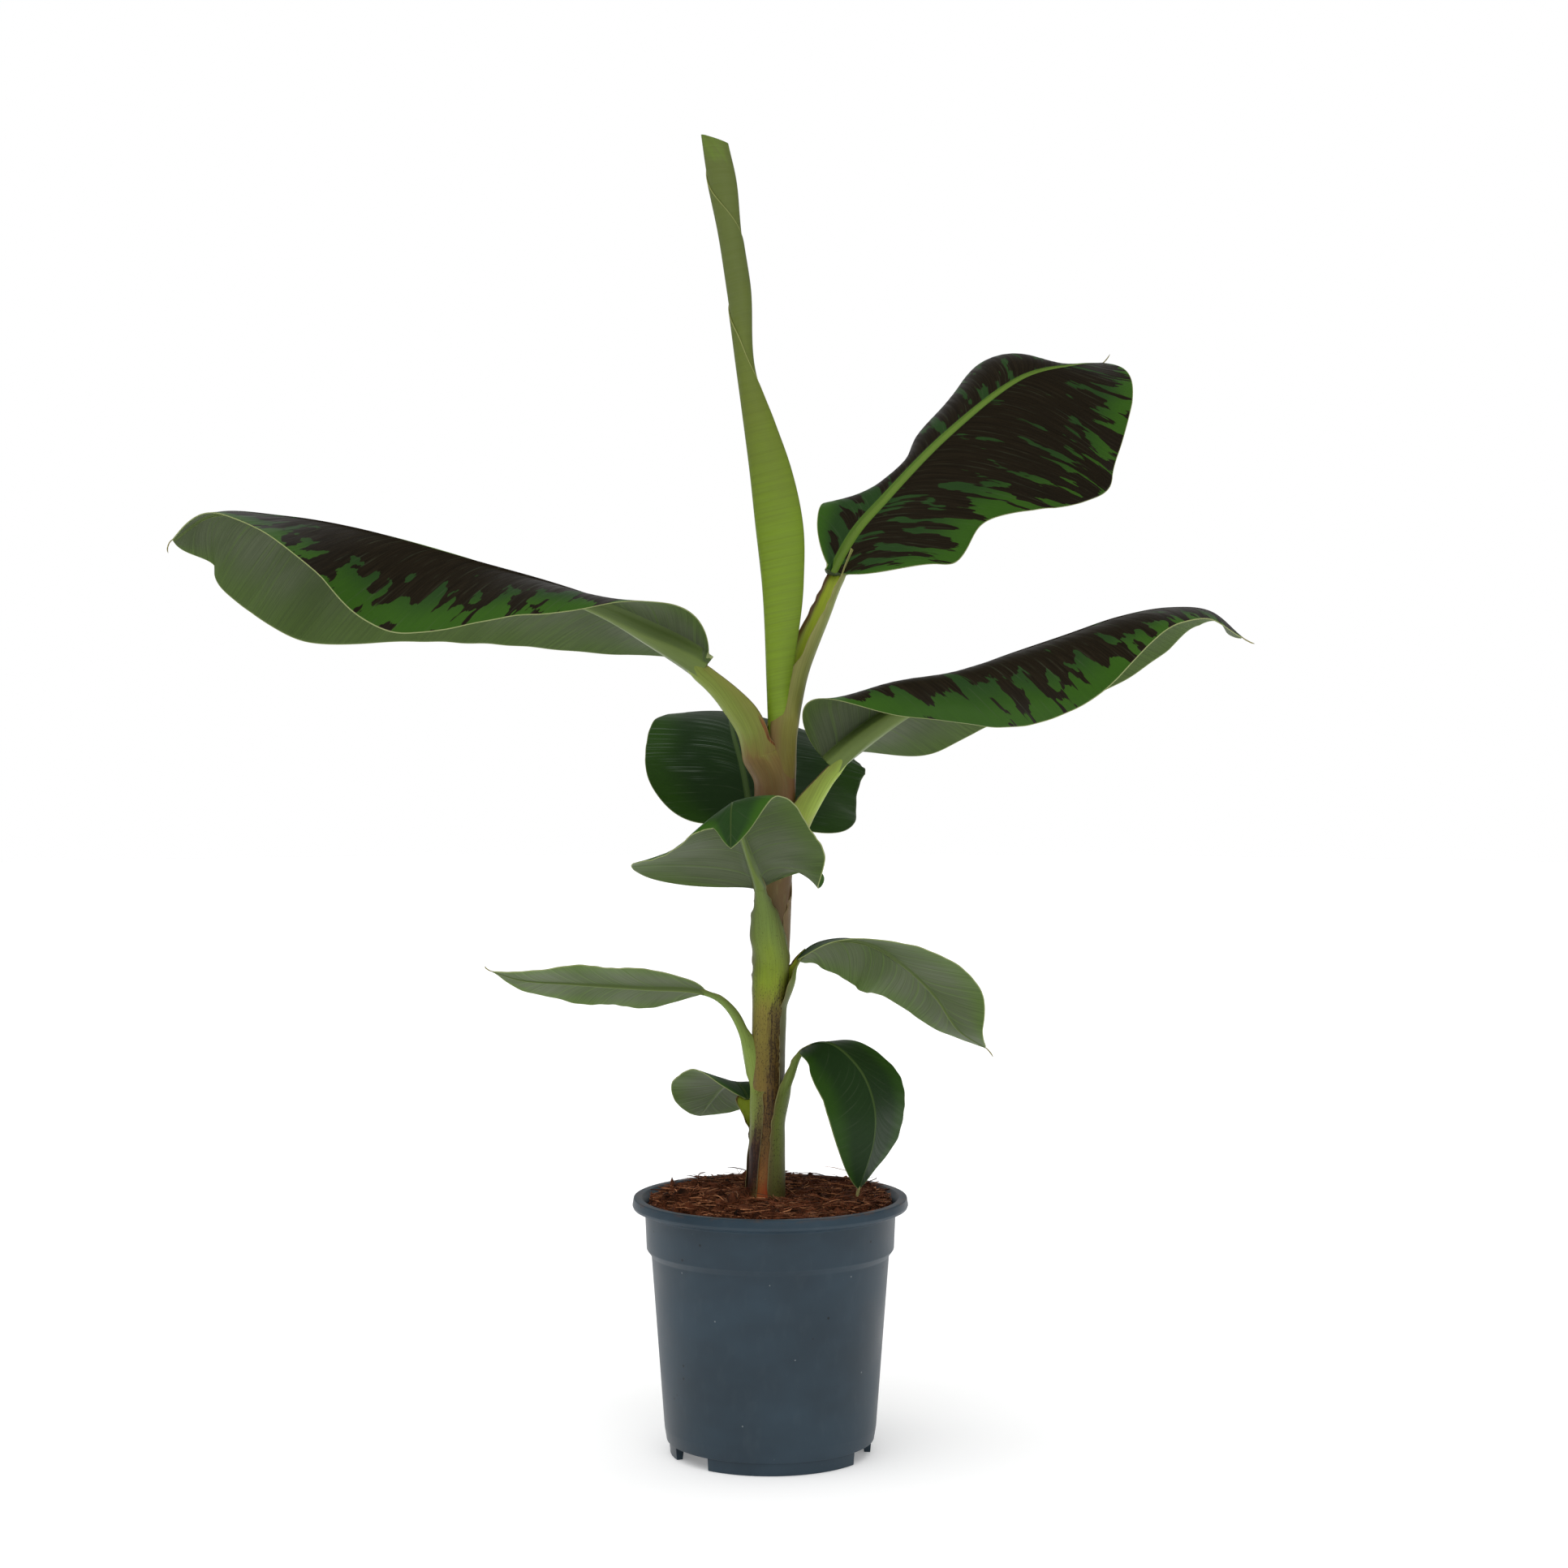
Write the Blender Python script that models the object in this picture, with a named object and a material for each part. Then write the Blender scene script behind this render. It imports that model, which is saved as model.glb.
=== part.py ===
"""Potted banana plant: pot, soil, false stem, rolled spear leaf and nine open leaves.

Metres, +Z up, origin on the ground under the middle of the pot, front toward -Y.
Every leaf is worked out from a short route (foot, neck, crest, tip) and named sizes.
"""
import bpy
import bmesh
import math
import numpy as np

# ---- driving sizes -------------------------------------------------------------------
RIM_RADIUS = 0.125            # widest edge of the pot lip
RIM_TOP = 0.2325              # top of the pot lip
BODY_TOP_RADIUS = 0.1078      # pot body just under the step
BODY_BASE_RADIUS = 0.0942     # pot body at its lower edge
STEP_HEIGHT = 0.181           # step between body and upper band
WALL = 0.0024                 # pot wall
FOOT_HEIGHT = 0.012           # standing ring under the pot
FOOT_RADIUS = 0.0914
FOOT_GAPS = (-52.0, 70.0, 190.0)   # middles of the three gaps in the standing ring, degrees
FOOT_GAP_WIDTH = 30.0
PAD_RADIUS = 0.030            # middle pad on the underside
HOLES, HOLE_RADIUS, HOLE_CIRCLE = 6, 0.007, 0.062
BAND_BASE_RADIUS = 0.1122     # upper band just above the step
BAND_TOP_RADIUS = 0.1136      # upper band just under the lip
POT_SIDES = 32
STEM_SIDES = 16
SPEAR_SIDES = 12
SPLIT = 0.72                  # share of a split blade that its first part takes
SOIL_LEVEL = 0.2245           # soil surface at the stem
GAP = 0.0003                  # clearance between touching pieces
BLADE = 0.0024                # blade thickness
STEM = (                      # height, centre x, radius
    (SOIL_LEVEL + GAP, -0.0045, 0.0186), (0.290, -0.0030, 0.0168), (0.361, -0.0020, 0.0155),
    (0.449, 0.0005, 0.0168), (0.526, 0.0030, 0.0172), (0.600, 0.0045, 0.0180),
    (0.650, 0.0065, 0.0150))
SPEAR = (                     # height, centre x, half width, half depth
    (0.6504, 0.0080, 0.0100, 0.0100), (0.691, 0.0078, 0.0113, 0.0105),
    (0.787, 0.0110, 0.0188, 0.0110), (0.838, 0.0080, 0.0215, 0.0115),
    (0.889, 0.0000, 0.0190, 0.0115), (0.932, -0.0103, 0.0142, 0.0110),
    (0.970, -0.0200, 0.0095, 0.0100), (1.055, -0.0290, 0.0113, 0.0100),
    (1.099, -0.0358, 0.0110, 0.0100), (1.157, -0.0447, 0.0137, 0.0090),
    (1.178, -0.0491, 0.0120, 0.0065), (1.189, -0.0565, 0.0040, 0.0030))

# Each leaf: route from foot to tip, share of the route taken by the petiole, heading in
# degrees (0 = +X, 90 = away), outline (widest share, base exponents, tip exponents),
# petiole radii at foot and neck, and per half: widest half width, share of it along the
# blade, lift from the level across the rib, further curl to the margin, forward rake.
LEAVES = {
    "upper_right": dict(
        route=((0.012, 0.004, 0.600), (0.020, 0.006, 0.660), (0.031, 0.010, 0.728),
               (0.052, 0.020, 0.787), (0.103, 0.060, 0.849), (0.180, 0.120, 0.931),
               (0.257, 0.200, 1.009), (0.300, 0.270, 1.021), (0.333, 0.330, 1.019)),
        neck=0.30, heading=35, outline=(0.55, (2.4, 0.65), (3.0, 0.60)), petiole=(0.0110, 0.0095),
        left=dict(width=0.115, share=(0.7, 0.8, 1, 1, 1, 1, 1), lift=(60, 25, 3, -3, 0, 0),
                  curl=(0, -20, -20, -15, -10, -10), wave=(0.005, 3.4, -0.05)),
        right=dict(width=0.125, share=(0.95, 0.78, 0.68, 0.68, 0.85, 1, 1, 0.95, 0.9),
                   lift=(-15, -30, -42, -58, -72, -76, -68, -58, -40),
                   curl=(-10, -20, -20, -15, -10, 0)),
        rake=(0, 0.1, 0.25, 0.2, 0.2), rows=18, columns=4),
    "upper_left": dict(
        route=((0.000, 0.000, 0.585), (-0.010, 0.000, 0.655), (-0.032, 0.000, 0.688),
               (-0.059, 0.000, 0.713), (-0.109, 0.000, 0.746), (-0.153, 0.000, 0.770),
               (-0.254, -0.010, 0.805), (-0.363, -0.010, 0.835), (-0.436, -0.010, 0.847),
               (-0.501, -0.010, 0.849), (-0.536, -0.010, 0.826)),
        neck=0.222, heading=180, outline=(0.55, (2.2, 0.7), (2.0, 0.75)), petiole=(0.0160, 0.0100),
        left=dict(width=0.116, share=(1, 1, 1, 1, 1, 1, 0.8), lift=(95, 30, -3, -32, -14, -2, 0),
                  curl=(-30, -50, -40, -25, -10, 0, 0), rake=(0, 0.2, 0.3, 0.3, 0.1)),
        right=dict(width=0.122, lift=(20, -10, -22, -40, -62, -50, -30),
                   curl=(-20, -30, -30, -30, -20, -10, 0), wave=(0.004, 3.5, 0.6)),
        rake=(0, 0.2, 0.3, 0.3, 0.3), rows=17, columns=4),
    "right": dict(
        route=((0.008, 0.000, 0.520), (0.015, 0.000, 0.550), (0.026, 0.000, 0.576),
               (0.041, 0.000, 0.600), (0.059, 0.000, 0.622), (0.103, 0.000, 0.660),
               (0.184, 0.000, 0.708), (0.271, 0.000, 0.738), (0.359, 0.000, 0.761),
               (0.396, 0.000, 0.762), (0.425, 0.000, 0.739)),
        neck=0.215, heading=0, outline=(0.45, (3.4, 0.45), (2.0, 0.75)), petiole=(0.0120, 0.0080),
        left=dict(width=0.092, lift=(60, -17, -22, -29, -27, -10, 0),
                  curl=(-40, -30, -30, -30, -20, -10, -10), wave=(0.003, 3, 0.6)),
        right=dict(width=0.106, lift=(95, 95, 35, 5, -3, -2, -15),
                   curl=(0, -195, -165, -100, -50, -20, 0)),
        rake=(0, 0.1, 0.3, 0.3, 0.3), rows=17, columns=4),
    "back": dict(
        route=((0.001, 0.008, 0.500), (-0.005, 0.024, 0.530), (-0.011, 0.040, 0.552),
               (-0.018, 0.060, 0.577), (-0.026, 0.100, 0.615), (-0.036, 0.150, 0.648),
               (-0.040, 0.200, 0.663), (-0.037, 0.260, 0.658), (-0.032, 0.310, 0.637)),
        neck=0.25, heading=95, outline=(0.40, (3.5, 0.45), (2.0, 0.75)), petiole=(0.0100, 0.0065),
        left=dict(width=0.090, share=(1, 1, 0.95, 0.8, 0.7), lift=(-15, -12, 0, 10, 10),
                  curl=(-20, -10, -10, -10, -10), wave=(0.003, 3, 0.6)),
        right=dict(width=0.152, share=(1, 1, 1, 0.85, 0.7), lift=(-30, -24, -14, -8, -10),
                   curl=(-10, -20, -20, -20, -20)),
        rake=(0, 0.2, 0.3, 0.3, 0.3), rows=13),
    "front": dict(
        route=((-0.001, -0.006, 0.440), (-0.004, -0.018, 0.475), (-0.008, -0.032, 0.510),
               (-0.018, -0.070, 0.545), (-0.026, -0.110, 0.572), (-0.030, -0.145, 0.592),
               (-0.031, -0.170, 0.597), (-0.032, -0.187, 0.590), (-0.034, -0.200, 0.570)),
        neck=0.285, heading=-95, outline=(0.30, (4.0, 0.45), (1.4, 0.85)), petiole=(0.0105, 0.0062),
        left=dict(width=0.078, outline=(0.36, (2.2, 0.7), (1.4, 0.85)), share=(1, 1, 0.92, 1, 1),
                  lift=(0, -10, 5, 18, 10), curl=(-10, -10, -10, -20, -20),
                  rake=(0, 0.3, 0.1, 0.1, 0.1)),
        right=dict(width=0.103, share=(1, 1, 0.8, 0.7, 0.7), lift=(7, -3, -20, -33, -25),
                   curl=(-10, -10, -20, -20, -20)),
        rake=(0, 0.1, 0.1, 0.1, 0.1), rows=15),
    "left_low": dict(
        route=((-0.010, 0.000, 0.345), (-0.017, 0.000, 0.378), (-0.026, 0.000, 0.399),
               (-0.041, 0.000, 0.413), (-0.060, 0.000, 0.420), (-0.114, 0.000, 0.423),
               (-0.183, 0.000, 0.430), (-0.251, 0.000, 0.442)),
        neck=0.345, heading=180, roll=30, outline=(0.45, (2.2, 0.6), (1.5, 0.9)),
        petiole=(0.0060, 0.0042),
        left=dict(width=0.038, lift=(10, 0, 0, 0, 0), curl=(0, 0)),
        right=dict(width=0.040, lift=(0, -5, -5, -5, 0), curl=(0, 0)),
        rake=(0, 0.2, 0.2, 0.2, 0.2), rows=12),
    "right_mid": dict(
        route=((0.010, 0.000, 0.385), (0.015, 0.002, 0.412), (0.022, 0.005, 0.435),
               (0.034, 0.010, 0.452), (0.052, 0.015, 0.460), (0.073, 0.025, 0.460),
               (0.117, 0.050, 0.444), (0.149, 0.075, 0.419), (0.165, 0.090, 0.401),
               (0.182, 0.105, 0.372), (0.203, 0.125, 0.354)),
        neck=0.245, heading=38, outline=(0.60, (2.4, 0.55), (2.2, 0.7)), petiole=(0.0055, 0.0045),
        left=dict(width=0.052, share=(1, 1, 1, 0.8, 0.6), lift=(-60, -50, -25, -5, 0), curl=(0, 0)),
        right=dict(width=0.058, share=(1, 1, 1, 0.82, 0.4), lift=(10, 0, 15, 22, 0), curl=(0, 0)),
        rake=(0, 0.3, 0.3, 0.3, 0.2), rows=13),
    "right_low": dict(
        route=((0.008, -0.004, 0.290), (0.012, -0.007, 0.322), (0.018, -0.011, 0.343),
               (0.028, -0.020, 0.368), (0.052, -0.035, 0.376), (0.080, -0.055, 0.354),
               (0.092, -0.065, 0.324), (0.092, -0.065, 0.294), (0.079, -0.050, 0.247)),
        neck=0.32, heading=-38, outline=(0.45, (3.0, 0.5), (1.7, 0.85)), petiole=(0.0058, 0.0042),
        left=dict(width=0.055, lift=(0, -5, -7, -7, -7), curl=(0, 0)),
        right=dict(width=0.047, lift=(-20, -30, -30, -30, -30), curl=(0, 0)),
        rake=(0, 0.2, 0.2, 0.2, 0.2), rows=13),
    "left_lowest": dict(
        route=((-0.006, 0.006, 0.280), (-0.016, 0.015, 0.304), (-0.024, 0.030, 0.323),
               (-0.033, 0.045, 0.330), (-0.043, 0.065, 0.324), (-0.053, 0.090, 0.310),
               (-0.067, 0.120, 0.288)),
        neck=0.40, heading=115, outline=(0.45, (2.2, 0.6), (1.7, 0.8)), petiole=(0.0050, 0.0038),
        left=dict(width=0.046, lift=(15, 8, 3, 0, 0), curl=(0, 0)),
        right=dict(width=0.046, lift=(20, 0, -10, -10, 0), curl=(0, 0)),
        rake=(0, 0.2, 0.2, 0.2, 0.2), rows=10),
}

COLOURS = {
    "pot": (0.045, 0.062, 0.080), "soil": (0.085, 0.035, 0.018), "stem": (0.17, 0.12, 0.05),
    "spear": (0.19, 0.28, 0.05), "petiole": (0.17, 0.26, 0.06), "blade": (0.03, 0.10, 0.03)}


# ---- small maths ---------------------------------------------------------------------
def through(knots, values, t):
    """Smooth curve through values at the knots."""
    knots, values, t = np.asarray(knots, float), np.asarray(values, float), np.asarray(t, float)
    slopes = np.gradient(values, knots, axis=0)
    t = np.clip(t, knots[0], knots[-1])
    i = np.clip(np.searchsorted(knots, t, side="right") - 1, 0, len(knots) - 2)
    span = knots[i + 1] - knots[i]
    f = (t - knots[i]) / span
    if values.ndim > 1:
        f, span = f[:, None], span[:, None]
    return (values[i] * (1 + 2 * f) * (1 - f) ** 2 + slopes[i] * span * f * (1 - f) ** 2
            + values[i + 1] * f * f * (3 - 2 * f) + slopes[i + 1] * span * f * f * (f - 1))


def spread(values, t):
    """Values given evenly from base to tip."""
    return through(np.linspace(0, 1, len(values)), values, t)


def unit(v):
    return v / np.linalg.norm(v, axis=-1, keepdims=True)


def frames(leaf, at):
    """Rib points at shares of the route, with tangent, side and upper directions."""
    points = np.asarray(leaf["route"], float)
    steps = np.sqrt(np.linalg.norm(np.diff(points, axis=0), axis=1))
    knots = np.concatenate([[0], np.cumsum(steps)])
    fine = through(knots, points, np.linspace(0, knots[-1], 1500))
    run = np.concatenate([[0], np.cumsum(np.linalg.norm(np.diff(fine, axis=0), axis=1))])
    tangent = unit(np.gradient(fine, axis=0))
    pick = [np.interp(np.asarray(at) * run[-1], run, fine[:, k]) for k in range(3)]
    heading = [np.interp(np.asarray(at) * run[-1], run, tangent[:, k]) for k in range(3)]
    rib, t = np.stack(pick, 1), unit(np.stack(heading, 1))
    a = math.radians(leaf["heading"])
    side = np.array([-math.sin(a), math.cos(a), 0.0])
    s = unit(side - (t @ side)[:, None] * t)
    n = np.cross(t, s)
    r = math.radians(leaf.get("roll", 0))
    return rib, t, s * math.cos(r) + n * math.sin(r), n * math.cos(r) - s * math.sin(r), run[-1]


def half_width(half, leaf, t):
    widest, base, tip = half.get("outline", leaf["outline"])
    x = np.clip(np.where(t < widest, (widest - t) / widest, (t - widest) / (1 - widest)), 0, 1)
    w = np.where(t < widest, (1 - x ** base[0]) ** base[1], (1 - x ** tip[0]) ** tip[1])
    return half["width"] * w * spread(half.get("share", (1, 1)), t)


# ---- meshes --------------------------------------------------------------------------
def add(name, verts, faces, kind):
    mesh = bpy.data.meshes.new(name)
    mesh.from_pydata([tuple(map(float, v)) for v in verts], [], faces)
    bm = bmesh.new()
    bm.from_mesh(mesh)
    bmesh.ops.recalc_face_normals(bm, faces=bm.faces)
    bmesh.ops.triangulate(bm, faces=bm.faces)
    bm.to_mesh(mesh)
    bm.free()
    obj = bpy.data.objects.new(name, mesh)
    bpy.context.scene.collection.objects.link(obj)
    mat = bpy.data.materials.new(name + "_look")
    mat.use_nodes = True
    shader = mat.node_tree.nodes["Principled BSDF"]
    shader.inputs["Base Color"].default_value = (*COLOURS[kind], 1.0)
    shader.inputs["Roughness"].default_value = 0.5
    mesh.materials.append(mat)
    return obj


def loft(rings):
    """Closed solid through rings of equal length, flat at both ends."""
    n = len(rings[0])
    verts = [v for ring in rings for v in ring]
    faces = [tuple(range(n))[::-1], tuple(range(len(verts) - n, len(verts)))]
    for r in range(len(rings) - 1):
        for k in range(n):
            a, b = r * n + k, r * n + (k + 1) % n
            faces.append((a, b, b + n, a + n))
    return verts, faces


def ring(centre, across, up, half_wide, half_deep, sides):
    out = []
    for k in range(sides):
        a = 2 * math.pi * (k + 0.5) / sides
        out.append(centre + across * half_wide * math.cos(a) + up * half_deep * math.sin(a))
    return out


def upright(table, grow, sides, ends=0.0):
    """Stem or spear: level rings from a table of heights."""
    table = np.asarray(table, float)
    z = np.concatenate([[table[0, 0] - ends], table[1:-1, 0], [table[-1, 0] + ends]])
    rings = []
    for row, height in zip(table, z):
        deep = row[3] if len(row) > 3 else row[2]
        rings.append(ring(np.array([row[1], 0.0, height]), np.array([1.0, 0, 0]),
                          np.array([0, 1.0, 0]), row[2] + grow, deep + grow, sides))
    return loft(rings)


def petiole_rings(leaf, grow, sides=8, steps=9):
    neck = leaf["neck"]
    length = frames(leaf, [0.0, 1.0])[4]
    share = np.linspace(0, neck - GAP / 2 / length, steps)
    rib, t, s, n, _ = frames(leaf, share)
    rings = []
    for k in range(steps):
        r = leaf["petiole"][0] + (leaf["petiole"][1] - leaf["petiole"][0]) * k / (steps - 1) + grow
        low = ring(rib[k] - n[k] * r * 0.35, s[k], n[k], r, r * 0.95, sides)
        rings.append([p - n[k] * max(0.0, float((p - rib[k]) @ n[k]) - r * 0.12) for p in low])
    return rings


def blade(leaf, first=0.0, last=1.0):
    """Thin closed blade with its thicker rib, from one share of its length to another."""
    neck, floor = leaf["neck"], leaf["petiole"][1] * 0.9
    length = frames(leaf, [0.0, 1.0])[4]
    size = length * (1 - neck)
    rows = max(3, round(leaf["rows"] * (last - first)))
    columns = leaf.get("columns", 3)
    ease = GAP / size
    start = first + (2 * ease if first else ease / 2)
    t = np.linspace(start, last - (2 * ease if last < 1 else 0), rows + 1)
    rib, tan, side, up, _ = frames(leaf, neck + (1 - neck) * t)
    rib_r = leaf["petiole"][1] * (1 - 0.85 * t) * 0.9
    grids = {}
    for sign, key in ((1, "left"), (-1, "right")):
        half = leaf[key]
        w = np.maximum(half_width(half, leaf, t), floor * np.clip(1 - 1.2 * t, 0.35, 1))
        lift, curl = np.radians(spread(half["lift"], t)), np.radians(spread(half["curl"], t))
        rake = spread(half.get("rake", leaf["rake"]), t)
        inner = np.minimum(rib_r / w, 0.5)
        q = [np.zeros(rows + 1), inner] + [inner + (1 - inner) * k / columns
                                           for k in range(1, columns + 1)]
        pts, normals, at = [rib], [None], rib
        for k in range(1, len(q)):
            phi = lift + curl * (q[k] + q[k - 1]) / 2
            d = np.cos(phi)[:, None] * sign * side + np.sin(phi)[:, None] * up
            at = at + (w * (q[k] - q[k - 1]))[:, None] * (d + rake[:, None] * tan)
            end = lift + curl * q[k]
            normals.append(np.cos(end)[:, None] * up - np.sin(end)[:, None] * sign * side)
            pts.append(at)
        if "wave" in half:
            size_w, count, phase = half["wave"]
            swing = size_w * np.sin(math.pi * t) * np.sin(2 * math.pi * (count * t + phase))
            for k in range(1, len(q)):
                pts[k] = pts[k] + (swing * q[k] ** 2)[:, None] * normals[k]
        grids[key] = (pts, normals)
    lp, ln = grids["left"]
    rp, rn = grids["right"]
    mid = unit(ln[1] + rn[1])
    pts = rp[:0:-1] + [rib] + lp[1:]
    nrm = rn[:0:-1] + [mid] + ln[1:]
    m, n = len(pts), rows + 1
    middle = len(rp) - 1
    verts = []
    for under in (False, True):
        for j in range(m):
            deep = 2 * rib_r if j == middle else BLADE / 2
            verts.extend(pts[j] + (-nrm[j] * np.reshape(deep, (-1, 1)) if under
                                   else nrm[j] * BLADE / 2))
    top, low = (lambda i, j: j * n + i), (lambda i, j: m * n + j * n + i)
    faces = []
    for j in range(m - 1):
        for i in range(n - 1):
            faces.append((top(i, j), top(i, j + 1), top(i + 1, j + 1), top(i + 1, j)))
            faces.append((low(i, j), low(i + 1, j), low(i + 1, j + 1), low(i, j + 1)))
        for i in (0, n - 1):
            faces.append((top(i, j), top(i, j + 1), low(i, j + 1), low(i, j)))
    for i in range(n - 1):
        for j in (0, m - 1):
            faces.append((top(i, j), top(i + 1, j), low(i + 1, j), low(i, j)))
    return verts, faces


def turned(profile, sides):
    """Solid turned round +Z from a closed profile of (radius, height)."""
    verts, faces, cols = [], [], []
    for radius, height in profile:
        if radius < 1e-6:
            cols.append([len(verts)] * sides)
            verts.append((0, 0, height))
        else:
            cols.append(list(range(len(verts), len(verts) + sides)))
            for k in range(sides):
                a = 2 * math.pi * k / sides
                verts.append((radius * math.cos(a), radius * math.sin(a), height))
    for p in range(len(profile)):
        a, b = cols[p], cols[(p + 1) % len(profile)]
        for k in range(sides):
            loop = [a[k], a[(k + 1) % sides], b[(k + 1) % sides], b[k]]
            loop = list(dict.fromkeys(loop))
            if len(loop) > 2:
                faces.append(tuple(loop))
    return verts, faces


def cut(target, tools):
    """Take the tool solids away from the target and delete them."""
    for tool in tools:
        mod = target.modifiers.new("cut", "BOOLEAN")
        mod.operation, mod.solver, mod.object = "DIFFERENCE", "EXACT", tool
        bpy.context.view_layer.update()
        got = bpy.data.meshes.new_from_object(
            target.evaluated_get(bpy.context.evaluated_depsgraph_get()))
        target.modifiers.clear()
        old, target.data = target.data, got
        bpy.data.meshes.remove(old)
        bpy.data.objects.remove(tool, do_unlink=True)
    bm = bmesh.new()
    bm.from_mesh(target.data)
    bmesh.ops.remove_doubles(bm, verts=bm.verts, dist=2e-5)
    bmesh.ops.dissolve_degenerate(bm, edges=bm.edges, dist=2e-5)
    bmesh.ops.triangulate(bm, faces=bm.faces)
    bm.to_mesh(target.data)
    bm.free()


# ---- the plant -----------------------------------------------------------------------
def build_pot():
    floor = FOOT_HEIGHT + 0.003
    outer = [(FOOT_RADIUS - 0.006, 0.0), (FOOT_RADIUS, 0.0), (FOOT_RADIUS + 0.0008, FOOT_HEIGHT),
             (BODY_BASE_RADIUS, FOOT_HEIGHT), (0.0962, 0.024), (BODY_TOP_RADIUS, STEP_HEIGHT - 0.001),
             (BAND_BASE_RADIUS, STEP_HEIGHT + 0.006), (BAND_TOP_RADIUS, RIM_TOP - 0.015),
             (RIM_RADIUS - 0.0025, RIM_TOP - 0.010), (RIM_RADIUS, RIM_TOP - 0.0075),
             (RIM_RADIUS - 0.001, RIM_TOP - 0.0007), (RIM_RADIUS - 0.0025, RIM_TOP),
             (RIM_RADIUS - 0.0085, RIM_TOP), (BAND_TOP_RADIUS - WALL, RIM_TOP - 0.006),
             (BAND_BASE_RADIUS - WALL, STEP_HEIGHT + 0.005),
             (BODY_TOP_RADIUS - WALL, STEP_HEIGHT - 0.003), (0.0925, floor), (0.0, floor),
             (0.0, 0.0), (PAD_RADIUS, 0.0), (PAD_RADIUS + 0.003, FOOT_HEIGHT - 0.0005),
             (FOOT_RADIUS - 0.007, FOOT_HEIGHT - 0.0005)]
    pot = add("pot", *turned(outer, POT_SIDES), "pot")
    tools = []
    for middle in FOOT_GAPS:
        a0, a1 = (math.radians(middle + s * FOOT_GAP_WIDTH / 2 - 90) for s in (-1, 1))
        corner = [(r * math.cos(a), r * math.sin(a)) for r, a in
                  ((0.079, a0), (0.100, a0), (0.100, a1), (0.079, a1))]
        rings = [[np.array((x, y, z)) for x, y in corner] for z in (-0.01, FOOT_HEIGHT - 0.0008)]
        tools.append(add("tool", *loft(rings), "pot"))
    for k in range(HOLES):
        a = 2 * math.pi * (k + 0.3) / HOLES
        spot = np.array([HOLE_CIRCLE * math.cos(a), HOLE_CIRCLE * math.sin(a), 0.0])
        rings = [ring(spot + np.array([0, 0, z]), np.array([1.0, 0, 0]), np.array([0, 1.0, 0]),
                      HOLE_RADIUS, HOLE_RADIUS, 8) for z in (0.005, 0.020)]
        tools.append(add("tool", *loft(rings), "pot"))
    cut(pot, tools)


def build_soil():
    low = FOOT_HEIGHT + 0.003 + GAP
    inner = [(0.0, low), (0.0925 - GAP, low), (BODY_TOP_RADIUS - WALL - GAP, STEP_HEIGHT - 0.003),
             (BAND_BASE_RADIUS - WALL - GAP, STEP_HEIGHT + 0.005), (0.1106 - GAP, 0.2195),
             (0.1040, 0.2225), (0.085, 0.2265), (0.060, 0.2275), (0.035, 0.2260),
             (0.024, SOIL_LEVEL), (0.0, SOIL_LEVEL)]
    add("soil", *turned(inner, POT_SIDES), "soil")


def build_plant():
    add("pseudostem", *upright(STEM, 0.0, STEM_SIDES), "stem")
    add("spear_leaf", *upright(SPEAR, 0.0, SPEAR_SIDES), "spear")
    done = []
    for name, leaf in LEAVES.items():
        petiole = add(name + "_petiole", *loft(petiole_rings(leaf, 0.0)), "petiole")
        tools = [add("tool", *upright(STEM, GAP, STEM_SIDES, ends=GAP), "stem")]
        if name in ("upper_right", "upper_left"):
            tools.append(add("tool", *upright(SPEAR, GAP, SPEAR_SIDES, ends=GAP), "stem"))
            tools += [add("tool", *loft(petiole_rings(other, GAP)), "stem") for other in done]
            done.append(leaf)
        cut(petiole, tools)
        if name in ("upper_right", "front"):
            add(name + "_blade", *blade(leaf, 0.0, SPLIT), "blade")
            add(name + "_blade_end", *blade(leaf, SPLIT, 1.0), "blade")
        else:
            add(name + "_blade", *blade(leaf), "blade")


for old in list(bpy.data.objects):
    bpy.data.objects.remove(old, do_unlink=True)
build_pot()
build_soil()
build_plant()
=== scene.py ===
"""Young banana plant in a round nursery pot: the looks, laid out as an add-on and run as a script.

Metres, +Z up, origin under the middle of the pot, front toward -Y. Leaves, stalks and pot
are worked out from named sizes; each operator makes one piece or one group of like pieces.
"""
import math

import bpy
import numpy as np
from bpy.props import FloatProperty, FloatVectorProperty, IntProperty, PointerProperty
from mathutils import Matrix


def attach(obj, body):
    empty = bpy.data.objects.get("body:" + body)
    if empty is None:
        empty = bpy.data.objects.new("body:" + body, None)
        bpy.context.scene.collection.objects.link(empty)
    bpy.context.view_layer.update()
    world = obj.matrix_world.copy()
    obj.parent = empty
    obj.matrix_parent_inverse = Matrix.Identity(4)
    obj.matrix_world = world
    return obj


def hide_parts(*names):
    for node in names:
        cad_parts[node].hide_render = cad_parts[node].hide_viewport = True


bl_info = {
    "name": "Potted banana plant",
    "version": (1, 0, 0),
    "blender": (4, 5, 0),
    "location": "3D View > Sidebar > Banana plant",
    "description": "Builds the fine leaves, stalks, stem, pot and compost of a young banana plant",
    "category": "Object",
}

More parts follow.
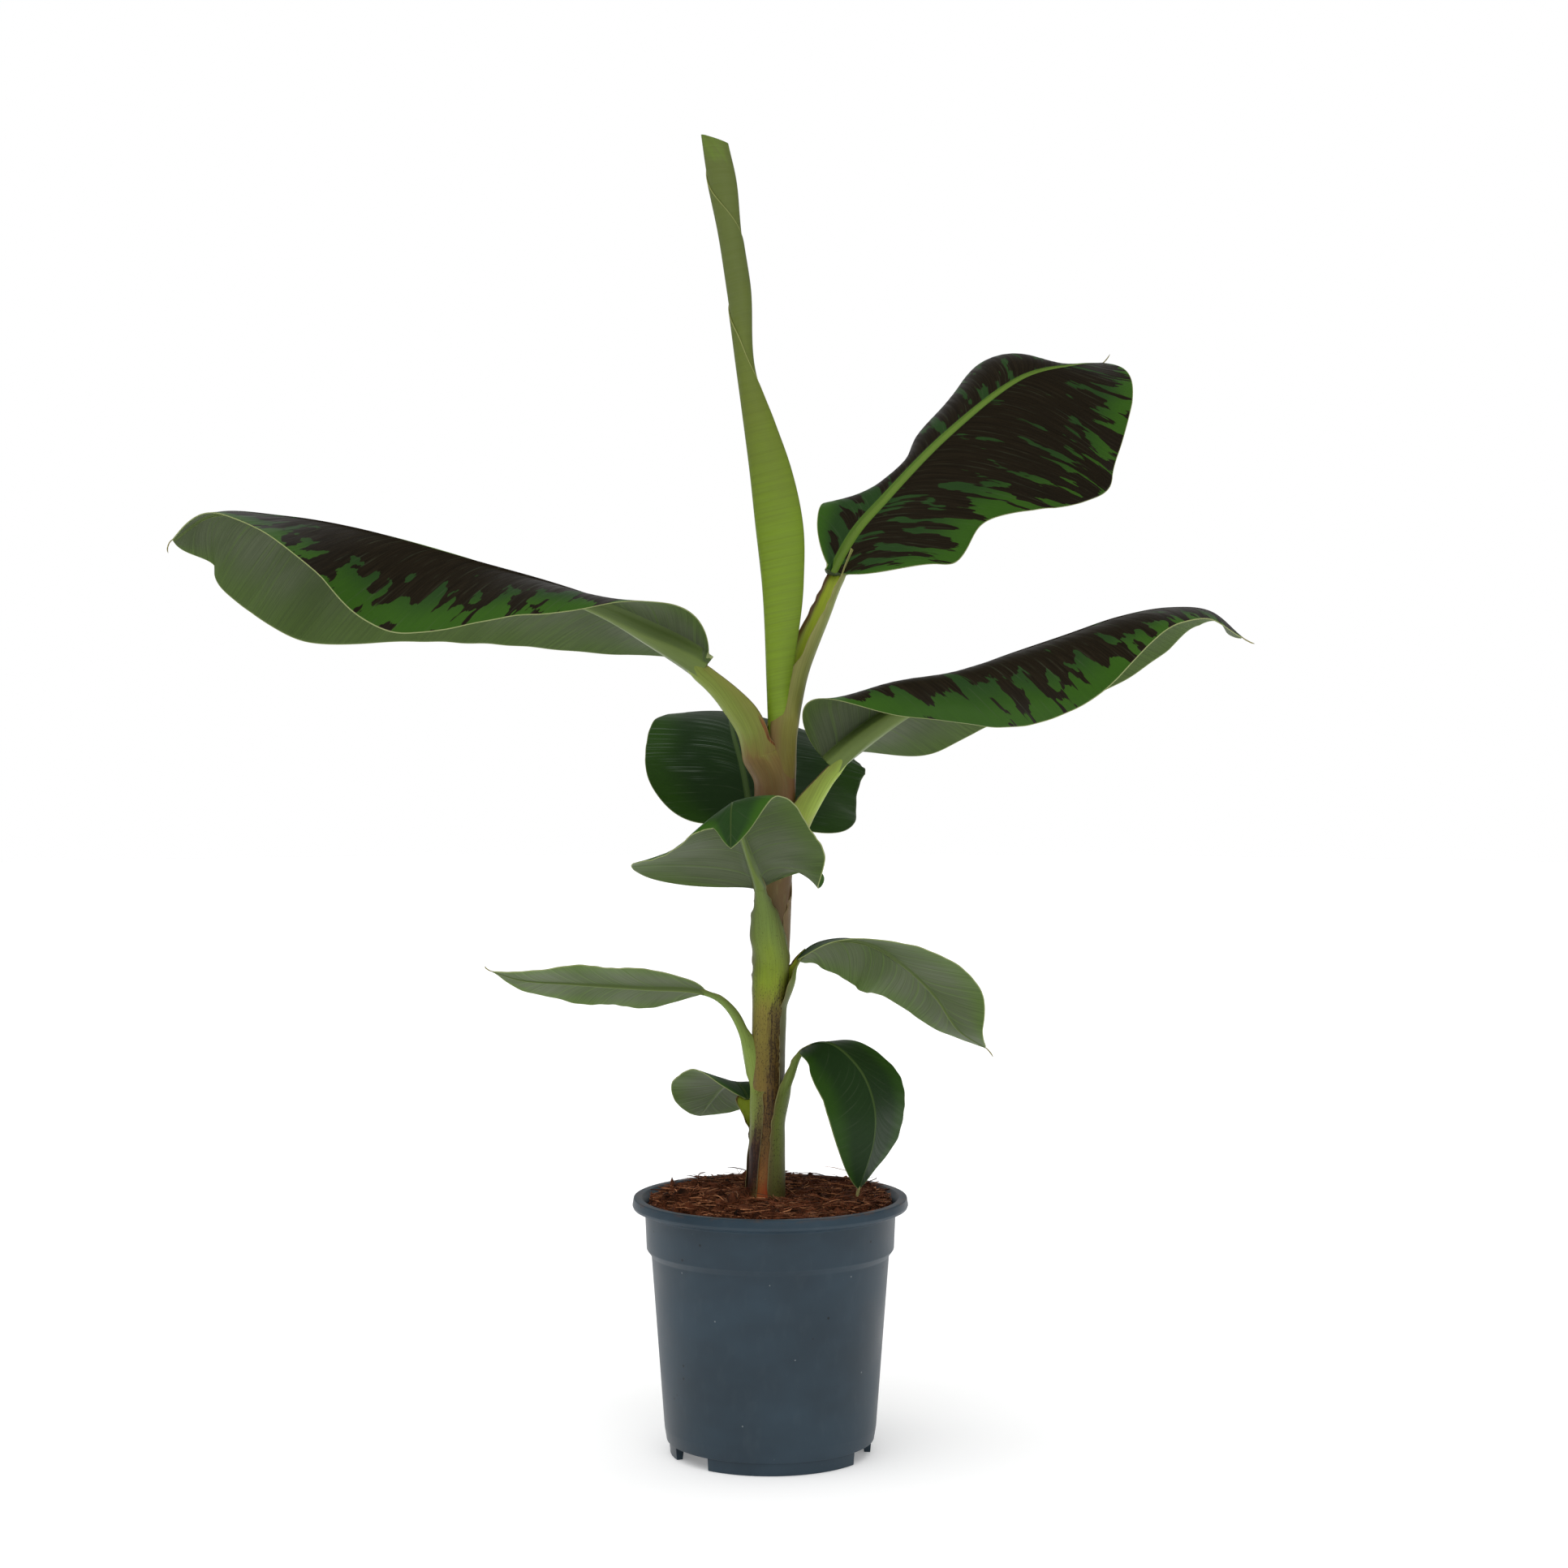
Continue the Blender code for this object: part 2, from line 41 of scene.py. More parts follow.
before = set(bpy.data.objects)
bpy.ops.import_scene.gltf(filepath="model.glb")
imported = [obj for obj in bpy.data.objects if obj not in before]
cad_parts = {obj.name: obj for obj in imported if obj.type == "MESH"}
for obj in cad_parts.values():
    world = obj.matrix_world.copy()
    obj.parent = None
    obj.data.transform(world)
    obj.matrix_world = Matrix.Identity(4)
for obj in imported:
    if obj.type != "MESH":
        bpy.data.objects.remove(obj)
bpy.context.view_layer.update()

# ---- the plant's own sizes, in metres -----------------------------------------------------
STEM = (                      # height, centre x, radius
    (0.2248, -0.0045, 0.0186), (0.290, -0.0030, 0.0168), (0.361, -0.0020, 0.0155),
    (0.449, 0.0005, 0.0168), (0.526, 0.0030, 0.0172), (0.595, 0.0042, 0.0186),
    (0.611, 0.0046, 0.0190), (0.636, 0.0087, 0.0150), (0.662, 0.0112, 0.0141))
STALK_TURN = 120                  # half the arc of a leaf stalk's channel, degrees
LAYER = 0.00045                   # thickness that each outer sheath adds to the stem
SHEATH = 0.0013                   # thickness of a sheath in its middle
SHEATH_MARGIN = 0.0005            # and at its margins
FOOT_GAPS = (-52.0, 70.0, 190.0)  # middles of the gaps in the pot's standing ring, degrees
FOOT_GAP_WIDTH = 30.0
HOLES, HOLE_RADIUS, HOLE_CIRCLE = 6, 0.007, 0.062
SOIL_RADIUS = 0.1108              # compost at its surface
STEM_CLEARANCE = 0.0195           # no crumbs or fibres start nearer to the stem's middle
FLOOR_RADIUS, FLOOR_DROP = 9.0, 0.0002

# Each leaf, from foot to tip:
#   route    points along the sheath's end, the stalk and the rib; neck: the stalk's share of it
#   heading  degrees, 0 = +X and 90 = away; roll: turn of the blade about its rib, degrees
#   outline  widest share, base exponents, tip exponents; a half may have its own
#   petiole  stalk radius at foot and neck; close: half arc of its channel at the neck, degrees
#   left, right   width: widest half width; share: how much of it along the blade; lift: angle
#            from the level beside the rib; curl: further turn out to the margin; wave: size,
#            count and phase; rake: lean toward the tip; sweep: slant of the veins
#   cover    by distance along the blade, how much is dark beside the rib and at the margin;
#            bare: how much less on the left half; top: a plain upper skin instead
#   wrap     by height, how far the sheath reaches round the stem, degrees to left and right
#   leave    height where the stalk leaves the stem; spring: rise before it stands clear;
#            fade: distances between which its width eases from the sheath's to its own
#   skin     colour by height; edge: colour toward the sheath's margins; dull: how far its
#            sides are dulled
#   blotch   by height, where dark blotches start across it and how strong they are; stain:
#            their colour
#   dry      heights between which the sheath's margin has dried
LEAVES = {
    "upper_right": dict(
        route=((0.010, 0.003, 0.600), (0.0107, 0.003, 0.655), (0.0157, 0.005, 0.685),
               (0.0215, 0.008, 0.710), (0.0295, 0.012, 0.732), (0.0425, 0.017, 0.762),
               (0.0545, 0.022, 0.791), (0.077, 0.043, 0.833), (0.104, 0.066, 0.865),
               (0.166, 0.130, 0.931), (0.242, 0.205, 0.992), (0.300, 0.270, 1.011),
               (0.333, 0.330, 1.019)),
        neck=0.30, heading=35, outline=(0.55, (2.4, 0.65), (3.0, 0.60)), petiole=(0.0138, 0.0120),
        left=dict(width=0.115, sweep=0.3,
                  share=(0.6, 0.68, 0.78, 0.6, 0.5, 0.85, 0.88, 0.9, 1, 1, 0.9, 0.6, 0.4),
                  lift=(62, 46, 34, 33, 36, 48, 52, 15, 0),
                  curl=(0, -40, -110, -130, -115, -120, -130, -120, -60),
                  wave=(0.003, 3.4, -0.05)),
        right=dict(width=0.135, outline=(0.55, (2.4, 0.45), (5.0, 0.50)), sweep=0.62,
                   share=(1.15, 0.98, 0.72, 0.85, 1.0, 1.02, 0.80, 0.51, 0.36),
                   lift=(-15, -32, -38, -48, -58, -62, -53, -36, -12),
                   curl=(-10, -20, -20, -15, -10, 0), wave=(0.002, 2.2, 0.45)),
        rake=(0, 0.1, 0.25, 0.2, 0.2), bare=0.07,
        cover=((0, 0.58, 0.44), (0.05, 0.56, 0.38), (0.10, 0.61, 0.44), (0.14, 0.65, 0.58),
               (0.26, 0.66, 0.57), (0.33, 0.64, 0.44), (0.40, 0.56, 0.40)),
        wrap=((0.50, 170, 175), (0.60, 165, 175), (0.65, 160, 175), (0.665, 140, 172),
              (0.690, 125, 165), (0.702, 120, 148), (0.712, 118, 122), (0.73, 116, 116)),
        leave=0.650, spring=0.012,
        skin=((0.52, (0.13, 0.07, 0.025)), (0.60, (0.15, 0.09, 0.025)),
              (0.64, (0.20, 0.17, 0.03)), (0.70, (0.30, 0.32, 0.08)),
              (0.76, (0.43, 0.50, 0.15))),
        edge=(0.18, 0.085, 0.05)),
    "upper_left": dict(
        route=((0.000, 0.000, 0.585), (-0.010, 0.000, 0.655), (-0.032, 0.000, 0.688),
               (-0.059, 0.000, 0.713), (-0.109, 0.000, 0.746), (-0.153, 0.000, 0.770),
               (-0.254, -0.010, 0.805), (-0.363, -0.010, 0.835), (-0.436, -0.010, 0.847),
               (-0.501, -0.010, 0.849), (-0.536, -0.010, 0.826)),
        neck=0.222, heading=180, outline=(0.55, (2.2, 0.7), (2.0, 0.75)), petiole=(0.0200, 0.0160),
        close=104,
        left=dict(width=0.116, share=(1, 1, 1, 1, 1, 1, 0.7), lift=(95, 30, -3, -32, -20, -6, 0),
                  curl=(-30, -50, -40, -25, -10, 0, 0), rake=(0, 0.15, 0.13, 0.10, 0.05),
                  wave=(0.003, 3, 0.1)),
        right=dict(width=0.122, outline=(0.55, (2.2, 0.6), (2.3, 0.62)),
                   lift=(10, -18, -24, -38, -58, -50, -30),
                   curl=(-20, -30, -30, -30, -20, -10, 0), wave=(0.004, 3.5, 0.6)),
        rake=(0, 0.2, 0.3, 0.3, 0.3),
        cover=((0, 0.56, 0.46), (0.05, 0.66, 0.44), (0.20, 0.70, 0.42), (0.34, 0.68, 0.45),
               (0.40, 0.54, 0.42)),
        wrap=((0.46, 175, 175), (0.590, 175, 175), (0.610, 160, 160), (0.626, 130, 130),
              (0.642, 122, 122)),
        leave=0.607,
        skin=((0.54, (0.12, 0.062, 0.020)), (0.600, (0.14, 0.072, 0.024)),
              (0.628, (0.22, 0.138, 0.040)), (0.656, (0.26, 0.32, 0.055)),
              (0.72, (0.25, 0.34, 0.045))),
        edge=(0.20, 0.085, 0.045), dry=(0.582, 0.672)),
    "right": dict(
        route=((0.006, 0.000, 0.522), (0.0125, 0.000, 0.553), (0.023, 0.000, 0.5795),
               (0.038, 0.000, 0.6035), (0.056, 0.000, 0.6255), (0.101, 0.000, 0.6625),
               (0.184, 0.000, 0.709), (0.271, 0.000, 0.742), (0.315, 0.000, 0.757),
               (0.359, 0.000, 0.765), (0.396, 0.000, 0.762), (0.425, 0.000, 0.739)),
        neck=0.215, heading=0, outline=(0.45, (3.4, 0.45), (2.0, 0.75)),
        petiole=(0.0172, 0.0130), close=100,
        left=dict(width=0.092, lift=(30, -20, -22, -29, -27, -10, 0),
                  curl=(-40, -30, -30, -30, -20, -10, -10), rake=(0, 0.1, 0.5, 0.58, 0.6),
                  wave=(0.002, 3, 0.6)),
        right=dict(width=0.106, share=(1, 1, 0.97, 0.93, 0.9), lift=(95, 95, 35, 5, -3, -2, -15),
                   curl=(0, -195, -165, -100, -50, -20, 0), rake=(0, 0.1, 0.13, 0.1, 0),
                   wave=(0.002, 3, 0.1)),
        rake=(0, 0.1, 0.3, 0.3, 0.3),
        cover=((0, 0.68, 0.34), (0.10, 0.72, 0.36), (0.20, 0.70, 0.44), (0.30, 0.64, 0.50),
               (0.36, 0.58, 0.46)),
        wrap=((0.40, 170, 170), (0.53, 165, 165), (0.56, 120, 120), (0.575, 85, 85)),
        leave=0.545,
        skin=((0.46, (0.13, 0.085, 0.04)), (0.52, (0.12, 0.07, 0.03)),
              (0.56, (0.27, 0.29, 0.05)), (0.585, (0.38, 0.51, 0.075)),
              (0.65, (0.34, 0.48, 0.065))),
        edge=(0.18, 0.12, 0.06)),
    "back": dict(
        route=((0.001, 0.008, 0.500), (-0.005, 0.024, 0.530), (-0.011, 0.040, 0.552),
               (-0.018, 0.060, 0.577), (-0.026, 0.100, 0.615), (-0.036, 0.150, 0.648),
               (-0.040, 0.200, 0.665), (-0.037, 0.260, 0.667), (-0.032, 0.310, 0.652)),
        neck=0.25, heading=95, outline=(0.40, (3.5, 0.45), (2.0, 0.75)), petiole=(0.0100, 0.0065),
        left=dict(width=0.090, share=(1, 1, 0.87, 0.72, 0.7), lift=(-15, -12, -4, 6, 15),
                  curl=(-20, -10, -10, -10, -10), wave=(0.002, 3, 0.6)),
        right=dict(width=0.152, share=(1, 1, 1, 0.85, 0.7), lift=(-30, -24, -14, -8, -10),
                   curl=(-10, -20, -20, -20, -20), wave=(0.003, 3, 0.1)),
        rake=(0, 0.2, 0.3, 0.3, 0.3), top="dark",
        wrap=((0.36, 150, 150), (0.50, 130, 130), (0.53, 80, 80)),
        leave=0.515,
        skin=((0.44, (0.24, 0.17, 0.08)), (0.50, (0.20, 0.13, 0.06)),
              (0.55, (0.13, 0.16, 0.05)), (0.60, (0.12, 0.17, 0.06))),
        edge=(0.18, 0.12, 0.06)),
    "front": dict(
        route=((-0.001, -0.006, 0.440), (-0.004, -0.018, 0.475), (-0.008, -0.032, 0.510),
               (-0.018, -0.070, 0.545), (-0.026, -0.110, 0.572), (-0.030, -0.145, 0.592),
               (-0.031, -0.170, 0.597), (-0.032, -0.187, 0.589), (-0.032, -0.200, 0.560)),
        neck=0.285, heading=-95, outline=(0.30, (4.0, 0.45), (1.4, 0.85)),
        petiole=(0.0105, 0.0062),
        left=dict(width=0.078, outline=(0.28, (2.8, 0.42), (1.4, 0.85)),
                  share=(1.15, 1.0, 0.87, 0.95, 1.05),
                  lift=(35, 0, -8, -3, 5, 14, 20, 14, 10),
                  curl=(-30, -60, -22, -10, -10, -15, -20, -20, -20),
                  rake=(0, 0.3, 0.1, 0.1, 0.1), wave=(0.002, 3, 0.6)),
        right=dict(width=0.103, share=(1, 1, 0.8, 0.7, 0.7), lift=(7, -3, -20, -33, -25),
                   curl=(-10, -10, -20, -20, -20), wave=(0.002, 3, 0.1)),
        rake=(0, 0.1, 0.1, 0.1, 0.1), top="green",
        wrap=((0.225, 150, 130), (0.40, 150, 115), (0.430, 112, 92), (0.446, 95, 72)),
        leave=0.446, fade=(-0.004, 0.042),
        skin=((0.232, (0.40, 0.07, 0.02)), (0.252, (0.32, 0.13, 0.035)),
              (0.285, (0.22, 0.12, 0.028)), (0.36, (0.19, 0.14, 0.026)),
              (0.40, (0.24, 0.20, 0.035)), (0.43, (0.23, 0.31, 0.022)),
              (0.48, (0.17, 0.25, 0.045)), (0.55, (0.12, 0.17, 0.055))),
        edge=(0.10, 0.09, 0.04), dull=0.55,
        blotch=((0.24, -0.002, 0.1), (0.27, -0.006, 0.4), (0.30, -0.004, 0.65),
                (0.325, -0.001, 0.75), (0.36, 0.002, 0.72), (0.40, 0.001, 0.68),
                (0.42, 0.0075, 0.5), (0.44, 0.012, 0.15))),
    "left_low": dict(
        route=((-0.0125, 0.000, 0.335), (-0.0180, 0.000, 0.363), (-0.0230, 0.000, 0.381),
               (-0.034, 0.000, 0.402), (-0.048, 0.000, 0.4145), (-0.068, 0.000, 0.4205),
               (-0.114, 0.000, 0.4225), (-0.183, 0.000, 0.4262), (-0.225, 0.000, 0.4290),
               (-0.251, 0.000, 0.4365)),
        neck=0.345, heading=180, roll=30, outline=(0.45, (2.2, 0.6), (1.5, 0.9)),
        petiole=(0.0060, 0.0042),
        left=dict(width=0.043, share=(0.9, 1, 0.93, 1.0, 0.8), lift=(0, 0, 0, 0, 0), curl=(0, 0),
                  wave=(0.0015, 3, 0.6)),
        right=dict(width=0.042, share=(1, 1, 0.88, 1.0, 1), lift=(0, -5, -5, -5, 0), curl=(0, 0),
                   wave=(0.0018, 3, 0.1)),
        rake=(0, 0.2, 0.2, 0.2, 0.2), top="green",
        wrap=((0.225, 61, 70), (0.270, 67, 75), (0.290, 73, 75), (0.315, 78, 76),
              (0.330, 76, 74)),
        leave=0.330, spring=0.012, fade=(0.012, 0.045),
        skin=((0.228, (0.17, 0.030, 0.012)), (0.255, (0.07, 0.020, 0.012)),
              (0.280, (0.13, 0.11, 0.03)), (0.305, (0.22, 0.28, 0.045)),
              (0.36, (0.23, 0.33, 0.055)), (0.42, (0.17, 0.26, 0.055))),
        edge=(0.20, 0.20, 0.05), stain=(0.060, 0.012, 0.008),
        blotch=((0.232, -0.02, 0.3), (0.245, -0.02, 0.95), (0.262, 0.002, 1.0),
                (0.287, 0.009, 0.9), (0.305, 0.014, 0.5), (0.34, 0.017, 0.15))),
    "right_mid": dict(
        route=((0.008, 0.000, 0.385), (0.0118, 0.002, 0.412), (0.0178, 0.005, 0.435),
               (0.0265, 0.008, 0.4505), (0.040, 0.012, 0.4605), (0.0655, 0.022, 0.4645),
               (0.093, 0.036, 0.4580), (0.115, 0.050, 0.4435), (0.137, 0.070, 0.4240),
               (0.1555, 0.084, 0.4030), (0.176, 0.102, 0.372), (0.203, 0.125, 0.352)),
        neck=0.20, heading=38, outline=(0.62, (2.0, 0.62), (2.2, 0.7)), petiole=(0.0054, 0.0043),
        left=dict(width=0.053, outline=(0.62, (3.4, 0.42), (2.2, 0.7)),
                  share=(0.95, 1, 0.86, 0.76, 0.55), lift=(-60, -50, -34, -8, 0),
                  curl=(0, 0), wave=(0.0012, 3, 0.6)),
        right=dict(width=0.058, share=(1, 1, 0.98, 0.68, 0.34), lift=(12, 4, 15, 22, 0),
                   curl=(0, 0), wave=(0.0012, 3, 0.1)),
        rake=(0, 0.3, 0.3, 0.3, 0.2), top="green",
        wrap=((0.225, 95, 87), (0.36, 100, 87), (0.405, 90, 85), (0.418, 70, 70)),
        leave=0.405,
        skin=((0.23, (0.06, 0.05, 0.025)), (0.36, (0.08, 0.075, 0.04)),
              (0.41, (0.17, 0.21, 0.055)), (0.44, (0.24, 0.34, 0.07))),
        edge=(0.12, 0.11, 0.06)),
    "right_low": dict(
        route=((0.007, -0.004, 0.290), (0.0095, -0.006, 0.320), (0.0165, -0.011, 0.342),
               (0.028, -0.020, 0.368), (0.052, -0.035, 0.376), (0.080, -0.055, 0.354),
               (0.092, -0.065, 0.324), (0.092, -0.065, 0.294), (0.079, -0.050, 0.247)),
        neck=0.32, heading=-38, outline=(0.45, (3.0, 0.5), (1.7, 0.85)), petiole=(0.0054, 0.0042),
        left=dict(width=0.055, share=(0.85, 1.0, 1.0, 1.05, 1), lift=(0, -5, -7, -7, -7),
                  curl=(0, 0), wave=(0.0015, 2.5, 0.3)),
        right=dict(width=0.047, lift=(-20, -30, -30, -30, -30), curl=(0, 0),
                   wave=(0.001, 2.5, 0.1)),
        rake=(0, 0.2, 0.2, 0.2, 0.2), top="deep",
        wrap=((0.225, 80, 47), (0.261, 80, 45), (0.290, 75, 41), (0.305, 65, 36),
              (0.316, 50, 27), (0.329, 35, 18)),
        leave=0.300,
        skin=((0.228, (0.10, 0.08, 0.02)), (0.26, (0.13, 0.14, 0.03)),
              (0.30, (0.16, 0.21, 0.035)), (0.36, (0.17, 0.25, 0.045))),
        edge=(0.12, 0.09, 0.03),
        blotch=((0.23, 0.02, 0.45), (0.30, 0.02, 0.35), (0.33, 0.02, 0.15))),
    "left_lowest": dict(
        route=((-0.006, 0.006, 0.280), (-0.016, 0.015, 0.304), (-0.024, 0.030, 0.323),
               (-0.033, 0.045, 0.330), (-0.043, 0.065, 0.324), (-0.053, 0.090, 0.310),
               (-0.067, 0.120, 0.288)),
        neck=0.27, heading=115, outline=(0.45, (2.2, 0.6), (1.7, 0.8)), petiole=(0.0044, 0.0034),
        left=dict(width=0.046, lift=(20, 18, 14, 8, 0), curl=(0, 0), wave=(0.001, 3, 0.6)),
        right=dict(width=0.046, lift=(8, -6, -14, -14, -8), curl=(0, 0), wave=(0.001, 3, 0.1)),
        rake=(0, 0.2, 0.2, 0.2, 0.2), top="green",
        wrap=((0.225, 75, 75), (0.28, 65, 65), (0.30, 50, 50)),
        leave=0.290,
        skin=((0.225, (0.09, 0.03, 0.015)), (0.27, (0.10, 0.08, 0.03)),
              (0.30, (0.16, 0.20, 0.05)), (0.33, (0.15, 0.21, 0.05))),
        edge=(0.14, 0.12, 0.05), blotch=((0.23, 0.0, 0.4), (0.28, 0.0, 0.2))),
}
YOUNG = ("left_low", "right_mid", "left_lowest")    # pale underneath
OUTER_FIRST = ("left_lowest", "right_low", "left_low", "right_mid", "front", "back", "right",
               "upper_left", "upper_right")


# ---- small maths --------------------------------------------------------------------------
def through(knots, values, t):
    """Smooth curve through values at the knots."""
    knots, values, t = np.asarray(knots, float), np.asarray(values, float), np.asarray(t, float)
    slopes = np.gradient(values, knots, axis=0)
    t = np.clip(t, knots[0], knots[-1])
    i = np.clip(np.searchsorted(knots, t, side="right") - 1, 0, len(knots) - 2)
    span = knots[i + 1] - knots[i]
    f = (t - knots[i]) / span
    if values.ndim > 1:
        f, span = f[:, None], span[:, None]
    return (values[i] * (1 + 2 * f) * (1 - f) ** 2 + slopes[i] * span * f * (1 - f) ** 2
            + values[i + 1] * f * f * (3 - 2 * f) + slopes[i + 1] * span * f * f * (f - 1))


def spread(values, t):
    """Values given evenly from base to tip."""
    return through(np.linspace(0, 1, len(values)), values, t)


def ease(low, high, x):
    """Smooth step from 0 at low to 1 at high."""
    x = np.clip((np.asarray(x, float) - low) / (high - low), 0, 1)
    return x * x * (3 - 2 * x)


def unit(v):
    """Vectors at length 1."""
    return v / np.linalg.norm(v, axis=-1, keepdims=True)


def column(values):
    """Values as a column, to work against rows of points."""
    return np.asarray(values)[:, None]


def frames(leaf, at):
    """Rib points at shares of the route, with tangent, side and upper directions and length."""
    points = np.asarray(leaf["route"], float)
    steps = np.sqrt(np.linalg.norm(np.diff(points, axis=0), axis=1))
    knots = np.concatenate([[0], np.cumsum(steps)])
    fine = through(knots, points, np.linspace(0, knots[-1], 1500))
    run = np.concatenate([[0], np.cumsum(np.linalg.norm(np.diff(fine, axis=0), axis=1))])
    tangent = unit(np.gradient(fine, axis=0))
    at = np.asarray(at) * run[-1]
    rib = np.stack([np.interp(at, run, fine[:, k]) for k in range(3)], 1)
    t = unit(np.stack([np.interp(at, run, tangent[:, k]) for k in range(3)], 1))
    a = math.radians(leaf["heading"])
    side = np.array([-math.sin(a), math.cos(a), 0.0])
    s = unit(side - column(t @ side) * t)
    n = np.cross(t, s)
    r = math.radians(leaf.get("roll", 0))
    return rib, t, s * math.cos(r) + n * math.sin(r), n * math.cos(r) - s * math.sin(r), run[-1]


def half_width(half, leaf, t):
    """Width of one half of a blade at shares of its length."""
    widest, base, tip = half.get("outline", leaf["outline"])
    x = np.clip(np.where(t < widest, (widest - t) / widest, (t - widest) / (1 - widest)), 0, 1)
    w = np.where(t < widest, (1 - x ** base[0]) ** base[1], (1 - x ** tip[0]) ** tip[1])
    return half["width"] * w * spread(half.get("share", (1, 1)), t)


def stem_at(z):
    """Middle of the stem and its radius at heights z."""
    table = np.asarray(STEM)
    z = np.asarray(z, float)
    x = through(table[:, 0], table[:, 1], z)
    return np.stack([x, 0 * z, z], -1), through(table[:, 0], table[:, 2], z)


# ---- meshes -------------------------------------------------------------------------------
def mesh_object(name, verts, faces, finishes, slots=None, maps=None, smooth=True):
    """Object from arrays; maps gives for each UV map one pair per vertex or per face corner."""
    mesh = bpy.data.meshes.new(name)
    mesh.from_pydata(np.asarray(verts, float).tolist(), [], np.asarray(faces).tolist()
                     if isinstance(faces, np.ndarray) else faces)
    for finish in finishes:
        mesh.materials.append(finish)
    if slots is not None:
        mesh.polygons.foreach_set("material_index", np.asarray(slots, dtype=np.int32))
    corners = np.empty(len(mesh.loops), dtype=np.int32)
    mesh.loops.foreach_get("vertex_index", corners)
    for label, pairs in (maps or {}).items():
        pairs = np.asarray(pairs, dtype=np.float32)
        layer = mesh.uv_layers.new(name=label)
        layer.data.foreach_set("uv", (pairs if len(pairs) == len(corners) != len(verts)
                                      else pairs[corners]).ravel())
    mesh.polygons.foreach_set("use_smooth", [smooth] * len(mesh.polygons))
    mesh.update()
    obj = bpy.data.objects.new(name, mesh)
    bpy.context.scene.collection.objects.link(obj)
    return obj


def skin_faces(rows, columns):
    """Faces of a closed skin between two grids: upper, lower, then its four rims."""
    i, j = np.meshgrid(np.arange(rows - 1), np.arange(columns - 1), indexing="ij")
    a = (i * columns + j).ravel()
    upper = np.stack([a, a + columns, a + columns + 1, a + 1], 1)
    lower = upper[:, ::-1] + rows * columns
    low = rows * columns
    r = np.arange(rows - 1) * columns
    c = np.arange(columns - 1)
    last = columns - 1
    end = (rows - 1) * columns
    rims = np.concatenate([
        np.stack([r, r + low, r + columns + low, r + columns], 1),
        np.stack([r + last, r + last + columns, r + last + columns + low, r + last + low], 1),
        np.stack([c, c + 1, c + 1 + low, c + low], 1),
        np.stack([c + end, c + end + low, c + end + 1 + low, c + end + 1], 1)])
    return upper, lower, rims


def tubes(paths, radii, sides=3, taper=0.35):
    """Closed tubes along many paths of equal length, as joined vertices and faces."""
    paths = np.asarray(paths, float)
    count, steps = paths.shape[:2]
    tangent = unit(np.gradient(paths, axis=1) + 1e-9)
    guide = np.array([0.31, 0.22, 0.92])
    across = unit(np.cross(tangent, guide))
    other = np.cross(tangent, across)
    shrink = 1 - (1 - taper) * np.abs(np.linspace(-1, 1, steps)) ** 3
    radius = np.asarray(radii, float).reshape(-1, 1, 1, 1) * shrink.reshape(1, -1, 1, 1)
    a = 2 * math.pi * np.arange(sides) / sides
    ring = (np.cos(a).reshape(1, 1, -1, 1) * across[:, :, None]
            + np.sin(a).reshape(1, 1, -1, 1) * other[:, :, None])
    verts = (paths[:, :, None] + radius * ring).reshape(-1, 3)
    base = np.arange(count).reshape(-1, 1, 1) * steps * sides
    i = np.arange(steps - 1).reshape(1, -1, 1) * sides
    k = np.arange(sides).reshape(1, 1, -1)
    n = (k + 1) % sides
    walls = np.stack([base + i + k, base + i + n, base + i + sides + n, base + i + sides + k], -1)
    faces = walls.reshape(-1, 4).tolist()
    starts = np.arange(count)[:, None] * steps * sides
    faces += (starts + np.arange(sides)[None, ::-1]).tolist()
    faces += (starts + (steps - 1) * sides + np.arange(sides)[None, :]).tolist()
    return verts, faces


def seat(obj, slot, *nodes):
    """The piece rides on the plant's one body and stands for the named solids."""
    if nodes:
        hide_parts(*nodes)
    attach(obj, "root")
    return obj


# ---- finishes -----------------------------------------------------------------------------
def toned(colour, factor=1.0):
    """Plain colour, made darker or lighter by a factor."""
    return tuple(factor * c for c in colour)


